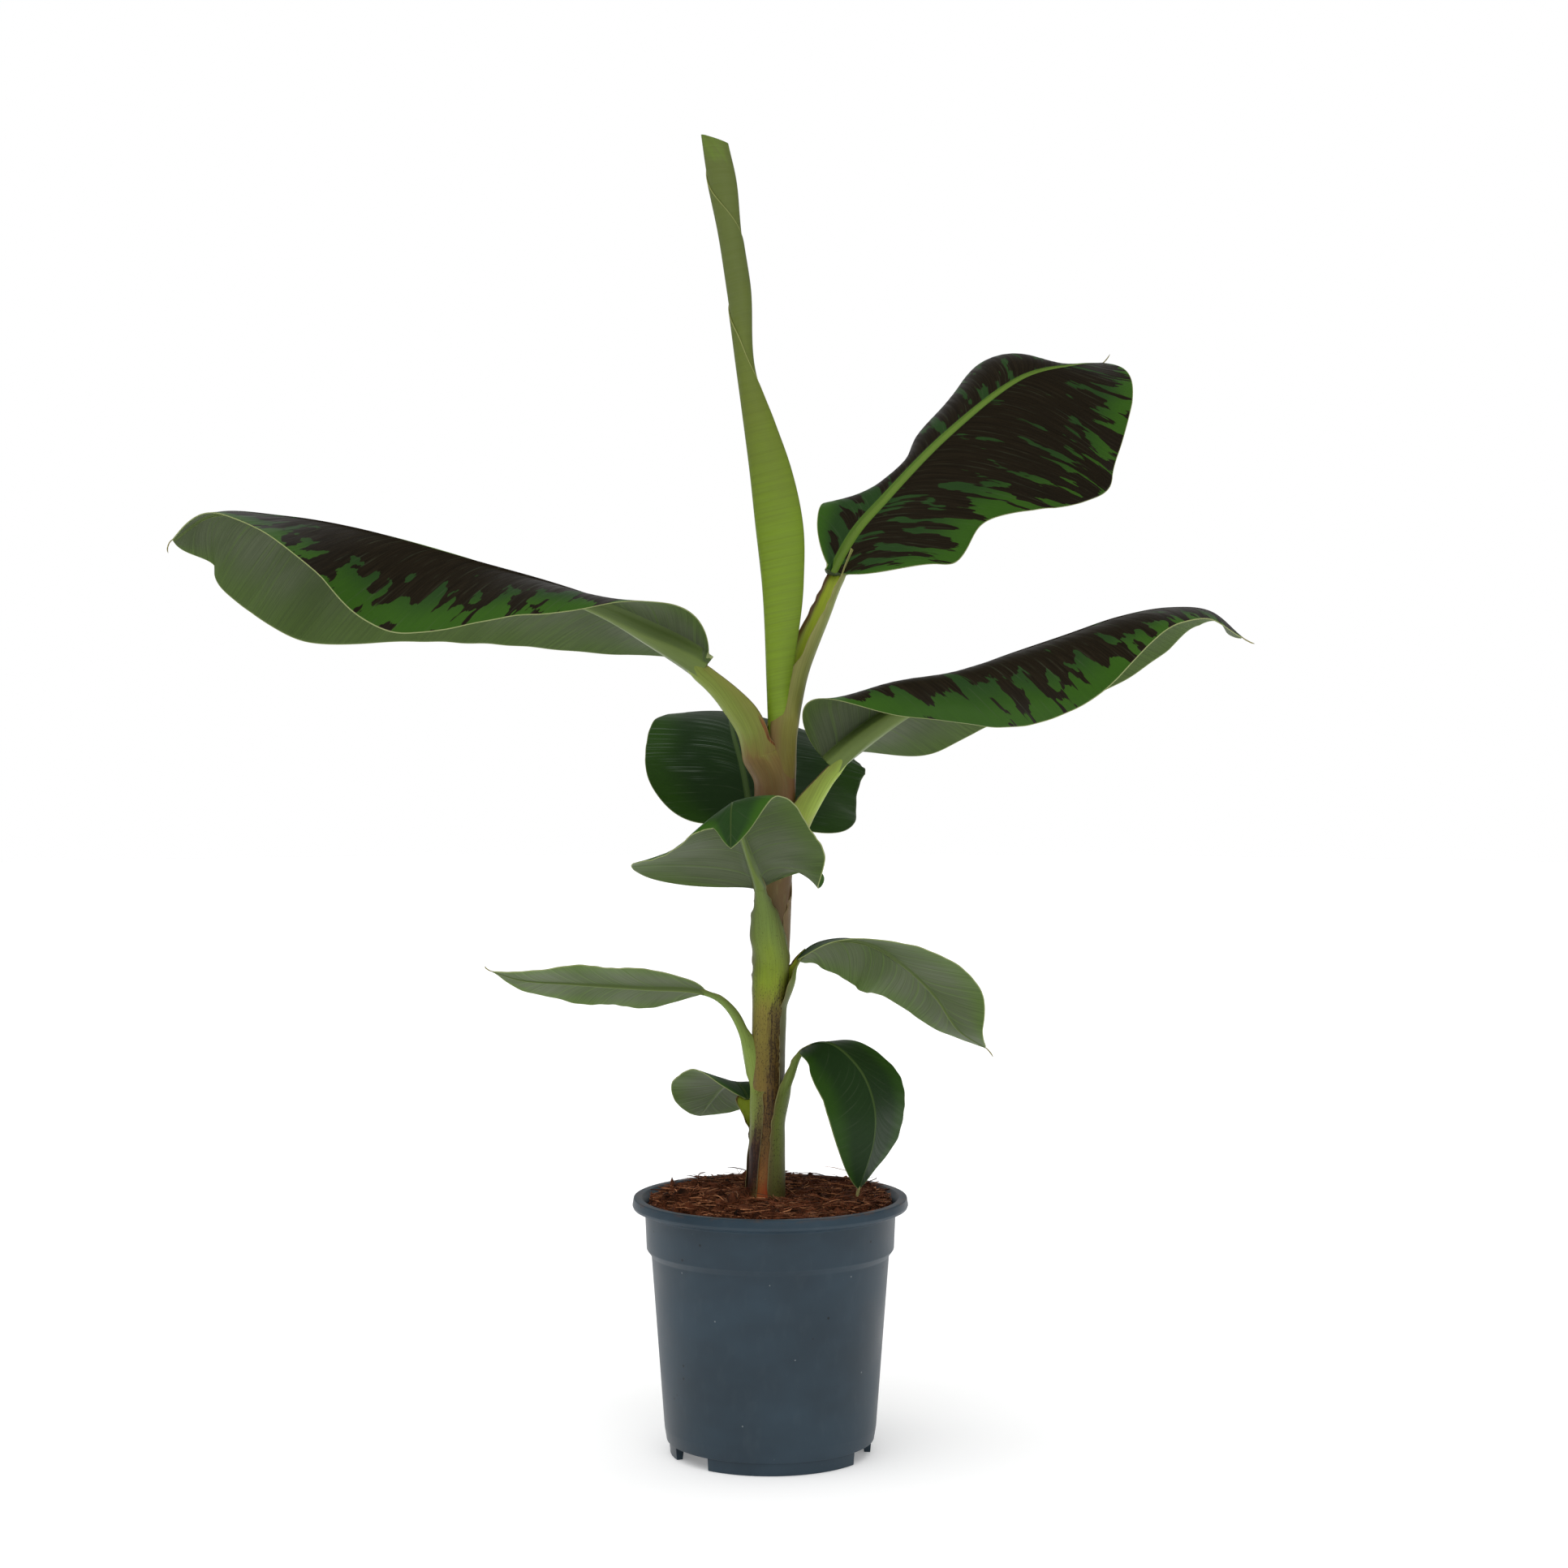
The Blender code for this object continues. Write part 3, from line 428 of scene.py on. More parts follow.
class Finish:
    """A procedural material put together node by node round one Principled shader."""

    def __init__(self, name, plain):
        self.material = bpy.data.materials.new(name)
        self.material.use_nodes = True
        self.tree = self.material.node_tree
        self.shader = self.tree.nodes["Principled BSDF"]
        for label, value in plain.items():
            self.shader.inputs[label].default_value = value

    def put(self, kind, inputs=(), **settings):
        """Adds a node; each input is a socket to link, a value to set, or None to leave."""
        node = self.tree.nodes.new("ShaderNode" + kind)
        for key, value in settings.items():
            setattr(node, key, value)
        pairs = inputs.items() if isinstance(inputs, dict) else enumerate(inputs)
        for key, value in pairs:
            if isinstance(value, bpy.types.NodeSocket):
                self.tree.links.new(value, node.inputs[key])
            elif value is not None:
                node.inputs[key].default_value = value
        return node

    def maths(self, operation, *values):
        return self.put("Math", values, operation=operation).outputs[0]

    def add(self, a, b):
        return self.maths("ADD", a, b)

    def times(self, a, b):
        return self.maths("MULTIPLY", a, b)

    def less(self, a, b):
        return self.maths("SUBTRACT", a, b)

    def over(self, a, b):
        return self.maths("DIVIDE", a, b)

    def sway(self, value, size):
        """A noise round 0.5, moved to swing about 0 by a size."""
        return self.times(self.add(value, -0.5), size)

    def uv(self, name):
        """The two values of a UV map."""
        return self.put("SeparateXYZ", [self.put("UVMap", uv_map=name).outputs[0]]).outputs

    def place(self):
        return self.put("TexCoord").outputs["Object"]

    def height(self):
        return self.put("SeparateXYZ", [self.place()]).outputs[2]

    def vector(self, x, y, z=0.0):
        return self.put("CombineXYZ", [x, y, z]).outputs[0]

    def stretched(self, source, scale, shift=(0, 0, 0)):
        """Coordinates scaled along each axis, then moved."""
        return self.put("Mapping", {"Vector": source, "Scale": scale, "Location": shift}).outputs[0]

    def noise(self, where, scale, detail=3.0, roughness=0.55, distortion=0.0, shift=(0, 0, 0)):
        """Noise over coordinates scaled along each axis, then moved."""
        return self.put("TexNoise", {"Vector": self.stretched(where, scale, shift), "Scale": 1.0,
                                     "Detail": detail, "Roughness": roughness,
                                     "Distortion": distortion}).outputs[0]

    def between(self, value, low, high, start=0.0, end=1.0):
        """Smooth step from start at low to end at high."""
        return self.put("MapRange", [value, low, high, start, end], interpolation_type="SMOOTHSTEP"
                        ).outputs[0]

    def blend(self, share, a, b):
        """Colour a where share is 0, b where it is 1."""
        a, b = (c if isinstance(c, bpy.types.NodeSocket) else (*c, 1.0) for c in (a, b))
        return self.put("Mix", {0: share, 6: a, 7: b}, data_type="RGBA").outputs[2]

    def ramp(self, share, stops):
        """Colour by share, from (share, colour) stops."""
        node = self.put("ValToRGB", [share])
        band = node.color_ramp
        while len(band.elements) < len(stops):
            band.elements.new(0.5)
        for element, (at, colour) in zip(band.elements, stops):
            element.position = at
            element.color = (*colour, 1.0)
        return node.outputs[0]

    def relief(self, height, distance, strength=1.0):
        """Fine relief from a height."""
        bump = self.put("Bump", {"Strength": strength, "Distance": distance, "Height": height})
        self.tree.links.new(bump.outputs[0], self.shader.inputs["Normal"])

    def wear(self, **sockets):
        """Links outputs to the shader's sockets: colour, roughness."""
        names = {"colour": "Base Color", "roughness": "Roughness"}
        for label, output in sockets.items():
            self.tree.links.new(output, self.shader.inputs[names[label]])
        return self.material


def lines(finish, along, spacing, sharpness):
    """Thin raised lines every so many metres: 1 on a line, 0 between."""
    turn = finish.maths("COSINE", finish.times(along, 2 * math.pi / spacing))
    return finish.maths("POWER", finish.add(finish.times(turn, 0.5), 0.5), sharpness)


def leaf_coordinates(finish):
    """Along the veins' rank, out from the rib, distance to the margin, share out to the margin."""
    vein, out = finish.uv("vein")[:2]
    edge = finish.uv("edge")[0]
    reach = finish.over(out, finish.add(finish.add(out, edge), 0.0001))
    return vein, out, edge, reach


def leaf_top(name, look, cover, shine, shade=1.0, streaks=0.0, bare=0.0):
    """Upper leaf skin: green, with blotches along the veins where cover is given, and painted sheen
    streaks where streaks is set.
    """
    f = Finish(name, {"Specular IOR Level": 0.14})
    vein, out, edge, reach = leaf_coordinates(f)
    where = f.vector(vein, out)
    tone = f.noise(where, (34, 8, 1), 3)
    green = f.blend(tone, toned(look.top_green, shade),
                    toned(look.top_green, 0.6 * shade))
    green = f.blend(f.between(f.add(reach, f.times(tone, 0.25)), 0.62, 1.05), green,
                    toned(look.margin_green, shade))
    fine = f.noise(where, (900, 25, 1), 1)
    green = f.blend(f.times(fine, 0.35), green, toned(look.top_green, 0.6))
    if cover:
        isles = f.noise(where, (68, 25, 1), 2, 0.5, 0.25, shift=(0.3, 2.1, 0))
        teeth = f.noise(where, (560, 36, 1), 1)
        broad = f.noise(where, (15, 9, 1), 1, shift=(4, 4, 0))
        level = f.add(f.add(isles, f.sway(teeth, 0.13)),
                      f.sway(broad, 0.30))
        stops = [(at / cover[-1][0], (inner, outer, 0.0)) for at, inner, outer in cover]
        plan = f.ramp(f.times(vein, 1 / cover[-1][0]), stops)
        inner, outer = f.put("SeparateColor", [plan]).outputs[:2]
        toward = f.between(reach, 0.25, 0.95)
        limit = f.add(f.times(inner, f.less(1.0, toward)), f.times(outer, toward))
        limit = f.add(limit, f.times(f.uv("edge")[1], -bare))
        dark = f.between(f.less(limit, level), -0.004, 0.008)
        maroon = f.blend(f.between(fine, 0.35, 0.7), toned(look.blotch),
                         toned(look.blotch, 1.7))
        green = f.blend(dark, green, maroon)
    # Painted sheen: pale grey streaks stand in for light glancing off the upper skin.
    if streaks:
        sheen_lines = f.between(f.noise(where, (900, 9, 1), 2, shift=(7, 0, 0)), 0.52, 0.70)
        sheen_zone = f.between(f.noise(where, (16, 14, 1), 2, shift=(1, 6, 0)), 0.46, 0.60)
        green = f.blend(f.times(f.times(sheen_lines, sheen_zone), streaks), green, (0.10, 0.13, 0.10))
    patchy = f.noise(where, (60, 30, 1), 2, shift=(2, 9, 0))
    veins = f.times(lines(f, vein, look.vein_spacing, 30), f.between(patchy, 0.45, 0.7, 0.0, 0.3))
    green = f.blend(veins, green, toned(look.vein_light))
    rim = f.between(edge, 0.0003, 0.0010, 0.8 if cover else 0.35, 0.0)
    soft = f.noise(where, (130, 6, 1), 2)
    f.relief(f.add(f.times(soft, 0.9), f.times(fine, 0.35)), 0.0004, 0.6)
    gloss = f.between(f.noise(where, (200, 18, 1), 2), 0.3, 0.7, shine, shine + 0.14)
    return f.wear(colour=f.blend(rim, green, toned(look.margin_line)), roughness=gloss)


def leaf_underside(name, look, glow, shade=1.0):
    """Lower leaf skin: dull grey green with fine parallel veins, with painted light shining through
    toward the margin.
    """
    f = Finish(name, {"Specular IOR Level": 0.15, "Sheen Weight": 0.04, "Sheen Roughness": 0.5})
    vein, out, edge, reach = leaf_coordinates(f)
    where = f.vector(vein, out)
    bloom = f.noise(where, (16, 8, 1), 3)
    grey, green, backlit = (toned(colour, shade) for colour in
                          (look.under_grey, look.under_green, look.under_backlit))
    skin = f.blend(f.between(bloom, 0.3, 0.7), grey, green)
    # Painted light: toward the margin the skin takes the green of light shining through the thin
    # blade.
    skin = f.blend(f.times(f.between(reach, 0.45, 1.0), glow), skin, backlit)
    fine = f.noise(where, (1000, 16, 1), 2)
    skin = f.blend(f.between(fine, 0.35, 0.75, 0.0, 0.45), skin, toned(green, 0.55))
    veins = f.between(f.noise(where, (260, 5, 1), 1, shift=(3, 3, 0)), 0.52, 0.72)
    skin = f.blend(f.times(veins, f.between(reach, 0.0, 1.0, 0.45, 0.2)), skin,
                   toned(backlit, 1.25))
    rim = f.between(edge, 0.0003, 0.0009, 0.6, 0.0)
    f.relief(f.add(veins, f.times(fine, 0.5)), 0.0003, 0.6)
    gloss = f.between(bloom, 0.3, 0.7, 0.5, 0.62)
    return f.wear(colour=f.blend(rim, skin, toned(look.margin_line)), roughness=gloss)


def midrib(name, light, deep):
    """Rib along a leaf: a pale stripe between deeper shoulders, with fine lengthwise streaks."""
    f = Finish(name, {"Specular IOR Level": 0.2})
    along, out = f.uv("vein")[:2]
    share = f.uv("edge")[0]
    streak = f.noise(f.vector(along, out), (35, 1600, 1), 2)
    skin = f.blend(f.between(f.add(share, f.times(streak, 0.3)), 0.35, 0.75), light, deep)
    skin = f.blend(f.times(streak, 0.4), skin, toned(deep, 0.7))
    f.relief(streak, 0.0002, 0.6)
    return f.wear(colour=skin, roughness=f.between(streak, 0.3, 0.7, 0.35, 0.48))


def stalk_skin(name, leaf):
    """Outside of a stalk and its sheath: colours by height, brown margins, streaks, blotches."""
    f = Finish(name, {"Specular IOR Level": 0.2})
    along, out = f.uv("vein")[:2]
    edge, reach = f.uv("edge")[:2]
    height = f.height()
    where = f.vector(along, out)
    streak = f.noise(where, (22, 900, 1), 3, 0.6)
    cloud = f.noise(where, (28, 90, 1), 2)
    low, high = leaf["skin"][0][0], leaf["skin"][-1][0]
    shifted = f.add(height, f.sway(cloud, 0.035))
    share = f.over(f.add(shifted, -low), high - low)
    skin = f.ramp(share, [((z - low) / (high - low), c) for z, c in leaf["skin"]])
    side = f.between(f.add(reach, f.sway(streak, 0.5)), 0.15, 0.75)
    skin = f.blend(f.times(side, leaf.get("dull", 0.35)), skin, (0.075, 0.085, 0.020))
    skin = f.blend(f.between(streak, 0.35, 0.75, 0.0, 0.22), skin, (0.05, 0.04, 0.012))
    bloom = f.noise(where, (60, 240, 1), 3, shift=(5, 1, 0))
    skin = f.blend(f.between(bloom, 0.5, 0.75, 0.0, 0.10), skin, (0.30, 0.32, 0.13))
    toward = f.between(f.add(reach, f.sway(cloud, 0.4)), 0.55, 0.98)
    sheath = f.between(height, leaf["leave"] - 0.02, leaf["leave"] + 0.04, 0.75, 0.22)
    skin = f.blend(f.times(toward, sheath), skin, leaf["edge"])
    if "blotch" in leaf:
        first, last = leaf["blotch"][0][0], leaf["blotch"][-1][0]
        step = f.over(f.add(height, -first), last - first)
        stops = [((z - first) / (last - first), (x + 0.03, amount, 0.0))
                 for z, x, amount in leaf["blotch"]]
        plan = f.put("SeparateColor", [f.ramp(step, stops)]).outputs
        patches = f.noise(where, (70, 420, 1), 4, 0.65, 0.2)
        ragged = f.add(f.times(streak, 0.006), f.times(patches, 0.010))
        beyond = f.between(f.less(f.add(out, ragged), f.add(plan[0], -0.0220)),
                           -0.003, 0.004)
        shade = f.times(f.times(beyond, plan[1]), f.between(patches, 0.3, 0.6, 0.75, 1.0))
        skin = f.blend(shade, skin, leaf.get("stain", (0.055, 0.022, 0.009)))
        marks = f.between(f.add(patches, f.times(shade, 0.20)), 0.67, 0.72)
        grains = f.noise(where, (420, 950, 1), 2, 0.7)
        few = f.noise(where, (60, 160, 1), 2, shift=(9, 2, 0))
        near = f.add(f.times(plan[1], 0.05), f.add(f.times(shade, 0.10), f.times(few, 0.25)))
        spots = f.between(f.add(grains, near), 0.755, 0.79)
        dots = f.maths("MAXIMUM", f.times(marks, shade), f.times(spots, f.between(plan[1], 0, 0.3)))
        skin = f.blend(f.times(dots, 0.8), skin, (0.016, 0.009, 0.005))
    if "dry" in leaf:
        foot, head = leaf["dry"]
        part = f.times(f.between(height, foot, foot + 0.01),
                       f.between(height, head - 0.01, head, 1, 0))
        ragged = f.between(f.add(edge, f.times(cloud, 0.006)), 0.0055, 0.0065, 1.0, 0.0)
        straw = f.blend(f.between(streak, 0.4, 0.65), (0.055, 0.020, 0.008), (0.30, 0.13, 0.04))
        skin = f.blend(f.times(part, ragged), skin, straw)
    rim = f.between(edge, 0.0002, 0.0009, 0.6, 0.0)
    f.relief(f.add(streak, f.times(bloom, 0.5)), 0.00025, 0.7)
    return f.wear(colour=f.blend(rim, skin, (0.26, 0.22, 0.10)),
                  roughness=f.between(bloom, 0.3, 0.7, 0.40, 0.55))


def channel_skin(name):
    """Inside of a stalk's channel: wet-looking yellow green with brown edges."""
    f = Finish(name, {"Specular IOR Level": 0.4})
    along, out = f.uv("vein")[:2]
    reach = f.uv("edge")[1]
    streak = f.noise(f.vector(along, out), (30, 700, 1), 3)
    skin = f.blend(streak, (0.40, 0.49, 0.035), (0.26, 0.32, 0.026))
    skin = f.blend(f.between(f.add(reach, f.times(streak, 0.2)), 0.8, 1.05), skin,
                   (0.10, 0.045, 0.015))
    f.relief(streak, 0.0002, 0.6)
    return f.wear(colour=skin, roughness=f.between(streak, 0.3, 0.7, 0.3, 0.42))


# ---- leaves and stalks --------------------------------------------------------------------
def blade_arrays(leaf, look):
    """Grids of the blade's upper and lower skin with the values for their maps, the middle column
    and how many columns of each half lie on the rib.
    """
    neck = leaf["neck"]
    length = frames(leaf, [0.0, 1.0])[4] * (1 - neck)
    rows = int(length / look.vein_spacing * 4.4) + 24
    even = np.linspace(0, 1, rows)
    t = 0.55 * even + 0.45 * (0.5 - 0.5 * np.cos(math.pi * even))
    rib, tan, side, up, _ = frames(leaf, neck + (1 - neck) * t)
    rib_r = leaf["petiole"][1] * 0.8 * (1 - 0.88 * t)
    inside = np.array([0.0, 0.2, 0.4, 0.6, 0.78, 0.9, 1.0])
    outside = 1 - (1 - np.linspace(0, 1, 21)[1:]) ** 1.25
    halves = {}
    for sign, key in ((1, "left"), (-1, "right")):
        half = leaf[key]
        w = np.maximum(half_width(half, leaf, t), 0.9 * rib_r)
        w = np.maximum(w, 0.0006)
        lift, curl = np.radians(spread(half["lift"], t)), np.radians(spread(half["curl"], t))
        rake = spread(half.get("rake", leaf["rake"]), t)
        inner = np.minimum(rib_r / w, 0.6)
        q = ([inner * x for x in inside] + [inner + (1 - inner) * x for x in outside])
        at = rib
        pts, normals, outs = [], [], []
        for k, share in enumerate(q):
            before = q[k - 1] if k else share
            phi = lift + curl * (share + before) / 2
            d = column(np.cos(phi)) * sign * side + column(np.sin(phi)) * up
            at = at + column(w * (share - before)) * (d + column(rake) * tan)
            end = lift + curl * share
            normals.append(column(np.cos(end)) * up - column(np.sin(end)) * sign * side)
            pts.append(at)
            outs.append(w * share)
        pts, normals, outs = np.array(pts), np.array(normals), np.array(outs)
        share = np.array(q)
        size, count, phase = half["wave"]
        swing = size * np.sin(math.pi * t) * np.sin(2 * math.pi * (count * t + phase))
        crinkle = size * 0.16 * np.sin(2 * math.pi * (11 * t + 1.3 * count)
                                       + 2.5 * np.sin(9 * t + count)) * np.sin(math.pi * t) ** 0.5
        shift = swing * share ** 2 + crinkle * share ** 6
        vein = t * length + 0.014 * np.exp(-outs / 0.010) - half.get("sweep", 0.25) * outs
        ripple = 0.00007 * np.cos(2 * math.pi * vein / look.vein_spacing)
        fade = ease(0.0, 0.25, share) * (1 - 0.75 * share)
        pts = pts + (shift + ripple * fade)[..., None] * normals
        halves[key] = pts, normals, outs, vein, w - outs
    left, right = halves["left"], halves["right"]
    join = [np.concatenate([r[:0:-1], l]) for r, l in zip(right, left)]
    middle = len(right[0]) - 1
    join[1][middle] = unit(left[1][1] + right[1][1])
    pts, normals, outs, vein, gap = join
    width = np.minimum(rib_r, outs.max(0))
    x = np.clip(outs / width, 0, 1)
    ridge = 1.15 * rib_r * np.sqrt(1 - x ** 2)
    lip = np.clip(1 - ((x - 0.62) / 0.22) ** 2, 0, 1)
    groove = rib_r * (0.16 * lip - 0.12 * np.clip(1 - (x / 0.5) ** 2, 0, 1))
    thick = look.blade_thickness / 2
    upper = pts + (thick + groove)[..., None] * normals
    lower = pts - (thick + ridge)[..., None] * normals
    swap = (1, 0, 2)
    grid = upper.transpose(swap), lower.transpose(swap)
    flat = [a.T for a in (vein, outs, gap, x)]
    return grid, flat, middle, len(inside)


DRY_TIPS = {                  # how far the dried point of a leaf hangs past its tip
    "upper_right": (0.008, 0.0, 0.009), "upper_left": (-0.004, 0.0, -0.012),
    "right": (0.012, 0.002, -0.006), "left_low": (-0.007, 0.0, 0.005),
    "right_mid": (0.008, 0.006, -0.010), "right_low": (-0.001, 0.0, -0.005)}


def dry_tips():
    """Thin dried points at the ends of the leaves, joined into one piece."""
    f = np.linspace(0, 1, 12)
    paths = []
    for name, reach in DRY_TIPS.items():
        rib, tangent = frames(LEAVES[name], [0.985, 1.0])[:2]
        bow = np.outer(np.sin(math.pi * f), tangent[1]) * 0.0035
        paths.append(rib[0] + np.outer(np.minimum(f / 0.3, 1), rib[1] - rib[0])
                     + np.outer(np.clip(f - 0.3, 0, 1) / 0.7, reach) + bow)
    size = [0.0016 if name == "right_low" else 0.0006 for name in DRY_TIPS]
    verts, faces = tubes(paths, size, 6, 0.15)
    return mesh_object("dry_tips", verts, faces, [fibre_finish("dry_tip", (0.30, 0.27, 0.10))])


def build_blade(name, leaf, look, finishes):
    """Leaf blade from its two skins; its rib has finishes of its own."""
    (upper, lower), (vein, outs, gap, x), middle, inner = blade_arrays(leaf, look)
    rows, columns = vein.shape
    top, under, rims = skin_faces(rows, columns)
    j = np.tile(np.arange(columns - 1), rows - 1)
    mid = j + 0.5 - middle
    on_top = np.abs(mid) < 3.2
    below = np.abs(mid) < inner - 1
    slots = np.concatenate([np.where(on_top, 2, 0), np.where(below, 3, 1),
                            np.ones(len(rims), int)])
    verts = np.concatenate([upper.reshape(-1, 3), lower.reshape(-1, 3)])
    faces = np.concatenate([top, under, rims])
    pair = np.stack([vein.ravel(), outs.ravel()], 1)
    left = np.tile(np.arange(columns) > middle, rows)
    edge = np.stack([gap.ravel(), left], 1)
    rib = np.stack([x.ravel(), x.ravel()], 1)
    corner = faces.ravel()
    ribbed = np.repeat(slots >= 2, 4)
    where = corner % (rows * columns)
    edge_map = np.where(ribbed[:, None], rib[where], edge[where])
    return mesh_object(name, verts, faces, finishes, slots,
                       {"vein": np.concatenate([pair, pair]), "edge": edge_map})


def stalk_stations(name, leaf):
    """Outer middle line of sheath and stalk with directions, radius and half arcs, foot to neck."""
    neck, (foot_r, neck_r) = leaf["neck"], leaf["petiole"]
    h = math.radians(leaf["heading"])
    out = np.array([math.cos(h), math.sin(h), 0.0])
    left = np.array([-math.sin(h), math.cos(h), 0.0])
    wrap = np.asarray(leaf["wrap"], float)
    low, leave = wrap[0, 0], leaf["leave"]
    z = np.linspace(low, leave, max(4, int((leave - low) / 0.012)))
    middle, radius = stem_at(z)
    for other in OUTER_FIRST[:OUTER_FIRST.index(name)]:
        radius = radius - LAYER * (1 - ease(0.0, 0.02, z - LEAVES[other]["leave"]))
    sheath = middle + out * column(radius)
    turns = np.radians(through(wrap[:, 0], wrap[:, 1:], z)) * column(radius)
    share = np.linspace(0, neck, 400)
    rib, _, _, n, _ = frames(leaf, share)
    r = foot_r + (neck_r - foot_r) * share / neck
    under = rib - n * column(r) * 1.1
    keep = share[np.argmax(under[:, 2] > leave + leaf.get("spring", 0.022))]
    share = np.concatenate([np.linspace(keep, neck, 14), neck + np.array([0.012, 0.025, 0.04])])
    rib, _, s, n, total = frames(leaf, share)
    past = np.clip((share - neck) / 0.04, 0, 1)
    r = foot_r + (neck_r - foot_r) * np.clip(share / neck, 0, 1)
    r = r * (1 - 0.12 * ease(0.6, 1, share / neck) - 0.18 * past)
    stalk = rib - n * column(r) * (1.1 - 0.16 * past)[:, None]
    turn = np.where(wrap[-1, 1:] > 100, wrap[-1, 1:], STALK_TURN)
    wide = np.where(wrap[-1, 1:] > 100, through(wrap[:, 0], wrap[:, 1:],
                                                np.clip(stalk[:, 2], leave, wrap[-1, 0])), turn)
    closing = column(ease(0.6, 1.0, share / neck))
    arc = column(r) * np.radians(wide + (leaf.get("close", 90) - wide) * closing)
    start, end = leaf.get("fade", (0.0, 0.016))
    weight = 1 - ease(start, end, (share - keep) * total)
    arcs = arc + (turns[-1] - arc[0]) * column(weight)
    depth = r * (0.30 + 0.32 * ease(0.0, 0.6, (share - keep) / (neck - keep)))
    path = np.concatenate([sheath, stalk])
    inward = np.concatenate([np.tile(-out, (len(z), 1)), n])
    side = np.concatenate([np.tile(left, (len(z), 1)), s])
    rho = np.concatenate([radius, r + (radius[-1] - r) * weight])
    arcs = np.concatenate([turns, arcs])
    thick = np.concatenate([np.full(len(z), SHEATH), depth])
    run = np.concatenate([[0], np.cumsum(np.linalg.norm(np.diff(path, axis=0), axis=1))])
    fine = np.linspace(0, run[-1], int(run[-1] / 0.0028))
    path, inward, side, rho, arcs, thick = [through(run, a, fine) for a in
                                            (path, inward, side, rho, arcs, thick)]
    tangent = unit(np.gradient(path, axis=0))
    side = unit(side - column((side * tangent).sum(1)) * tangent)
    inward = unit(np.cross(tangent, side))
    return path, inward, side, rho, arcs, thick, fine


def build_stalk(name, leaf, finishes):
    """Stalk and sheath as one curved channel round its own middle line."""
    path, inward, side, rho, arcs, thick, run = stalk_stations(name, leaf)
    columns = 43
    c = np.linspace(-1, 1, columns)
    arc = np.where(c > 0, c * arcs[:, :1], c * arcs[:, 1:])
    angle = arc / column(rho)
    centre = path + inward * column(rho)
    ray = (-np.cos(angle)[..., None] * inward[:, None] + np.sin(angle)[..., None] * side[:, None])
    tear = 0.0009 * np.sin(run / 0.004 + 3 * np.sin(run / 0.011))
    arc_edge = np.abs(c) ** 10 * np.sign(c)
    outer = (centre[:, None] + column(rho)[..., None] * ray
             + (column(tear) * arc_edge)[..., None] * side[:, None])
    depth = SHEATH_MARGIN + (column(thick) - SHEATH_MARGIN) * (1 - np.abs(c) ** 2) ** 1.2
    inner = outer - ray * depth[..., None]
    rows = len(path)
    top, under, rims = skin_faces(rows, columns)
    slots = np.concatenate([np.ones(len(top), int), np.zeros(len(under), int),
                            np.zeros(len(rims), int)])
    edge = np.where(c > 0, arcs[:, :1] - arc, arcs[:, 1:] + arc)
    pair = np.stack([np.repeat(run, columns), arc.ravel()], 1)
    far = np.stack([edge.ravel(), np.tile(np.abs(c), rows)], 1)
    verts = np.concatenate([inner.reshape(-1, 3), outer.reshape(-1, 3)])
    return mesh_object(name + "_stalk", verts, np.concatenate([top, under, rims]), finishes, slots,
                       {"vein": np.concatenate([pair, pair]), "edge": np.concatenate([far, far])})


# ---- settings -----------------------------------------------------------------------------
def tint(label, words, value):
    """A colour setting."""
    return FloatVectorProperty(name=label, description=words, default=value, size=3,
                               subtype="COLOR", min=0.0, max=1.0)


def length(label, words, value):
    """A setting in metres."""
    return FloatProperty(name=label, description=words, default=value, min=0.0, unit="LENGTH",
                         precision=5)


class LeafSettings(bpy.types.PropertyGroup):
    top_green: tint("Upper green", "Green of the upper leaf skin", (0.022, 0.060, 0.013))
    margin_green: tint("Margin green", "Fresh green near the margin", (0.034, 0.100, 0.007))
    blotch: tint("Blotches", "Near-black maroon of the blotches", (0.0095, 0.0068, 0.0032))
    vein_light: tint("Vein lines", "Pale lines of the side veins", (0.07, 0.09, 0.05))
    margin_line: tint("Margin line", "Thin pale line round the blade", (0.42, 0.46, 0.20))
    under_grey: tint("Underside grey", "Grey bloom under the leaf", (0.094, 0.116, 0.062))
    under_green: tint("Underside green", "Dull green under the leaf", (0.058, 0.086, 0.028))
    # Painted light: the green that light shining through the blade gives the underside near its
    # margin.
    under_backlit: tint("Underside fresh green", "Fresher green near the margin",
                      (0.074, 0.128, 0.022))
    rib_light: tint("Rib stripe", "Pale stripe of the midrib", (0.125, 0.205, 0.028))
    rib_deep: tint("Rib sides", "Deeper green of the midrib", (0.070, 0.140, 0.016))
    vein_spacing: length("Vein spacing", "Distance between the main side veins", 0.0092)
    blade_thickness: length("Blade thickness", "Thickness of the leaf skin", 0.0008)


class PotSettings(bpy.types.PropertyGroup):
    plastic: tint("Plastic", "Blue grey of the pot", (0.0245, 0.043, 0.060))
    scuff: tint("Scuffs", "Pale scratches and specks", (0.30, 0.32, 0.33))
    rim_radius: length("Lip radius", "Outer radius of the pot's lip", 0.125)
    rim_top: length("Lip height", "Height of the lip's top", 0.2325)
    base_radius: length("Base radius", "Radius at the body's lower edge", 0.0942)
    top_radius: length("Body radius", "Radius just under the step", 0.1078)
    step_height: length("Step height", "Height of the step in the wall", 0.181)
    wall: length("Wall", "Thickness of the wall", 0.0024)
    foot_height: length("Foot height", "Height of the standing ring", 0.012)
    sides: IntProperty(name="Sides", description="Facets round the pot", default=160, min=24)


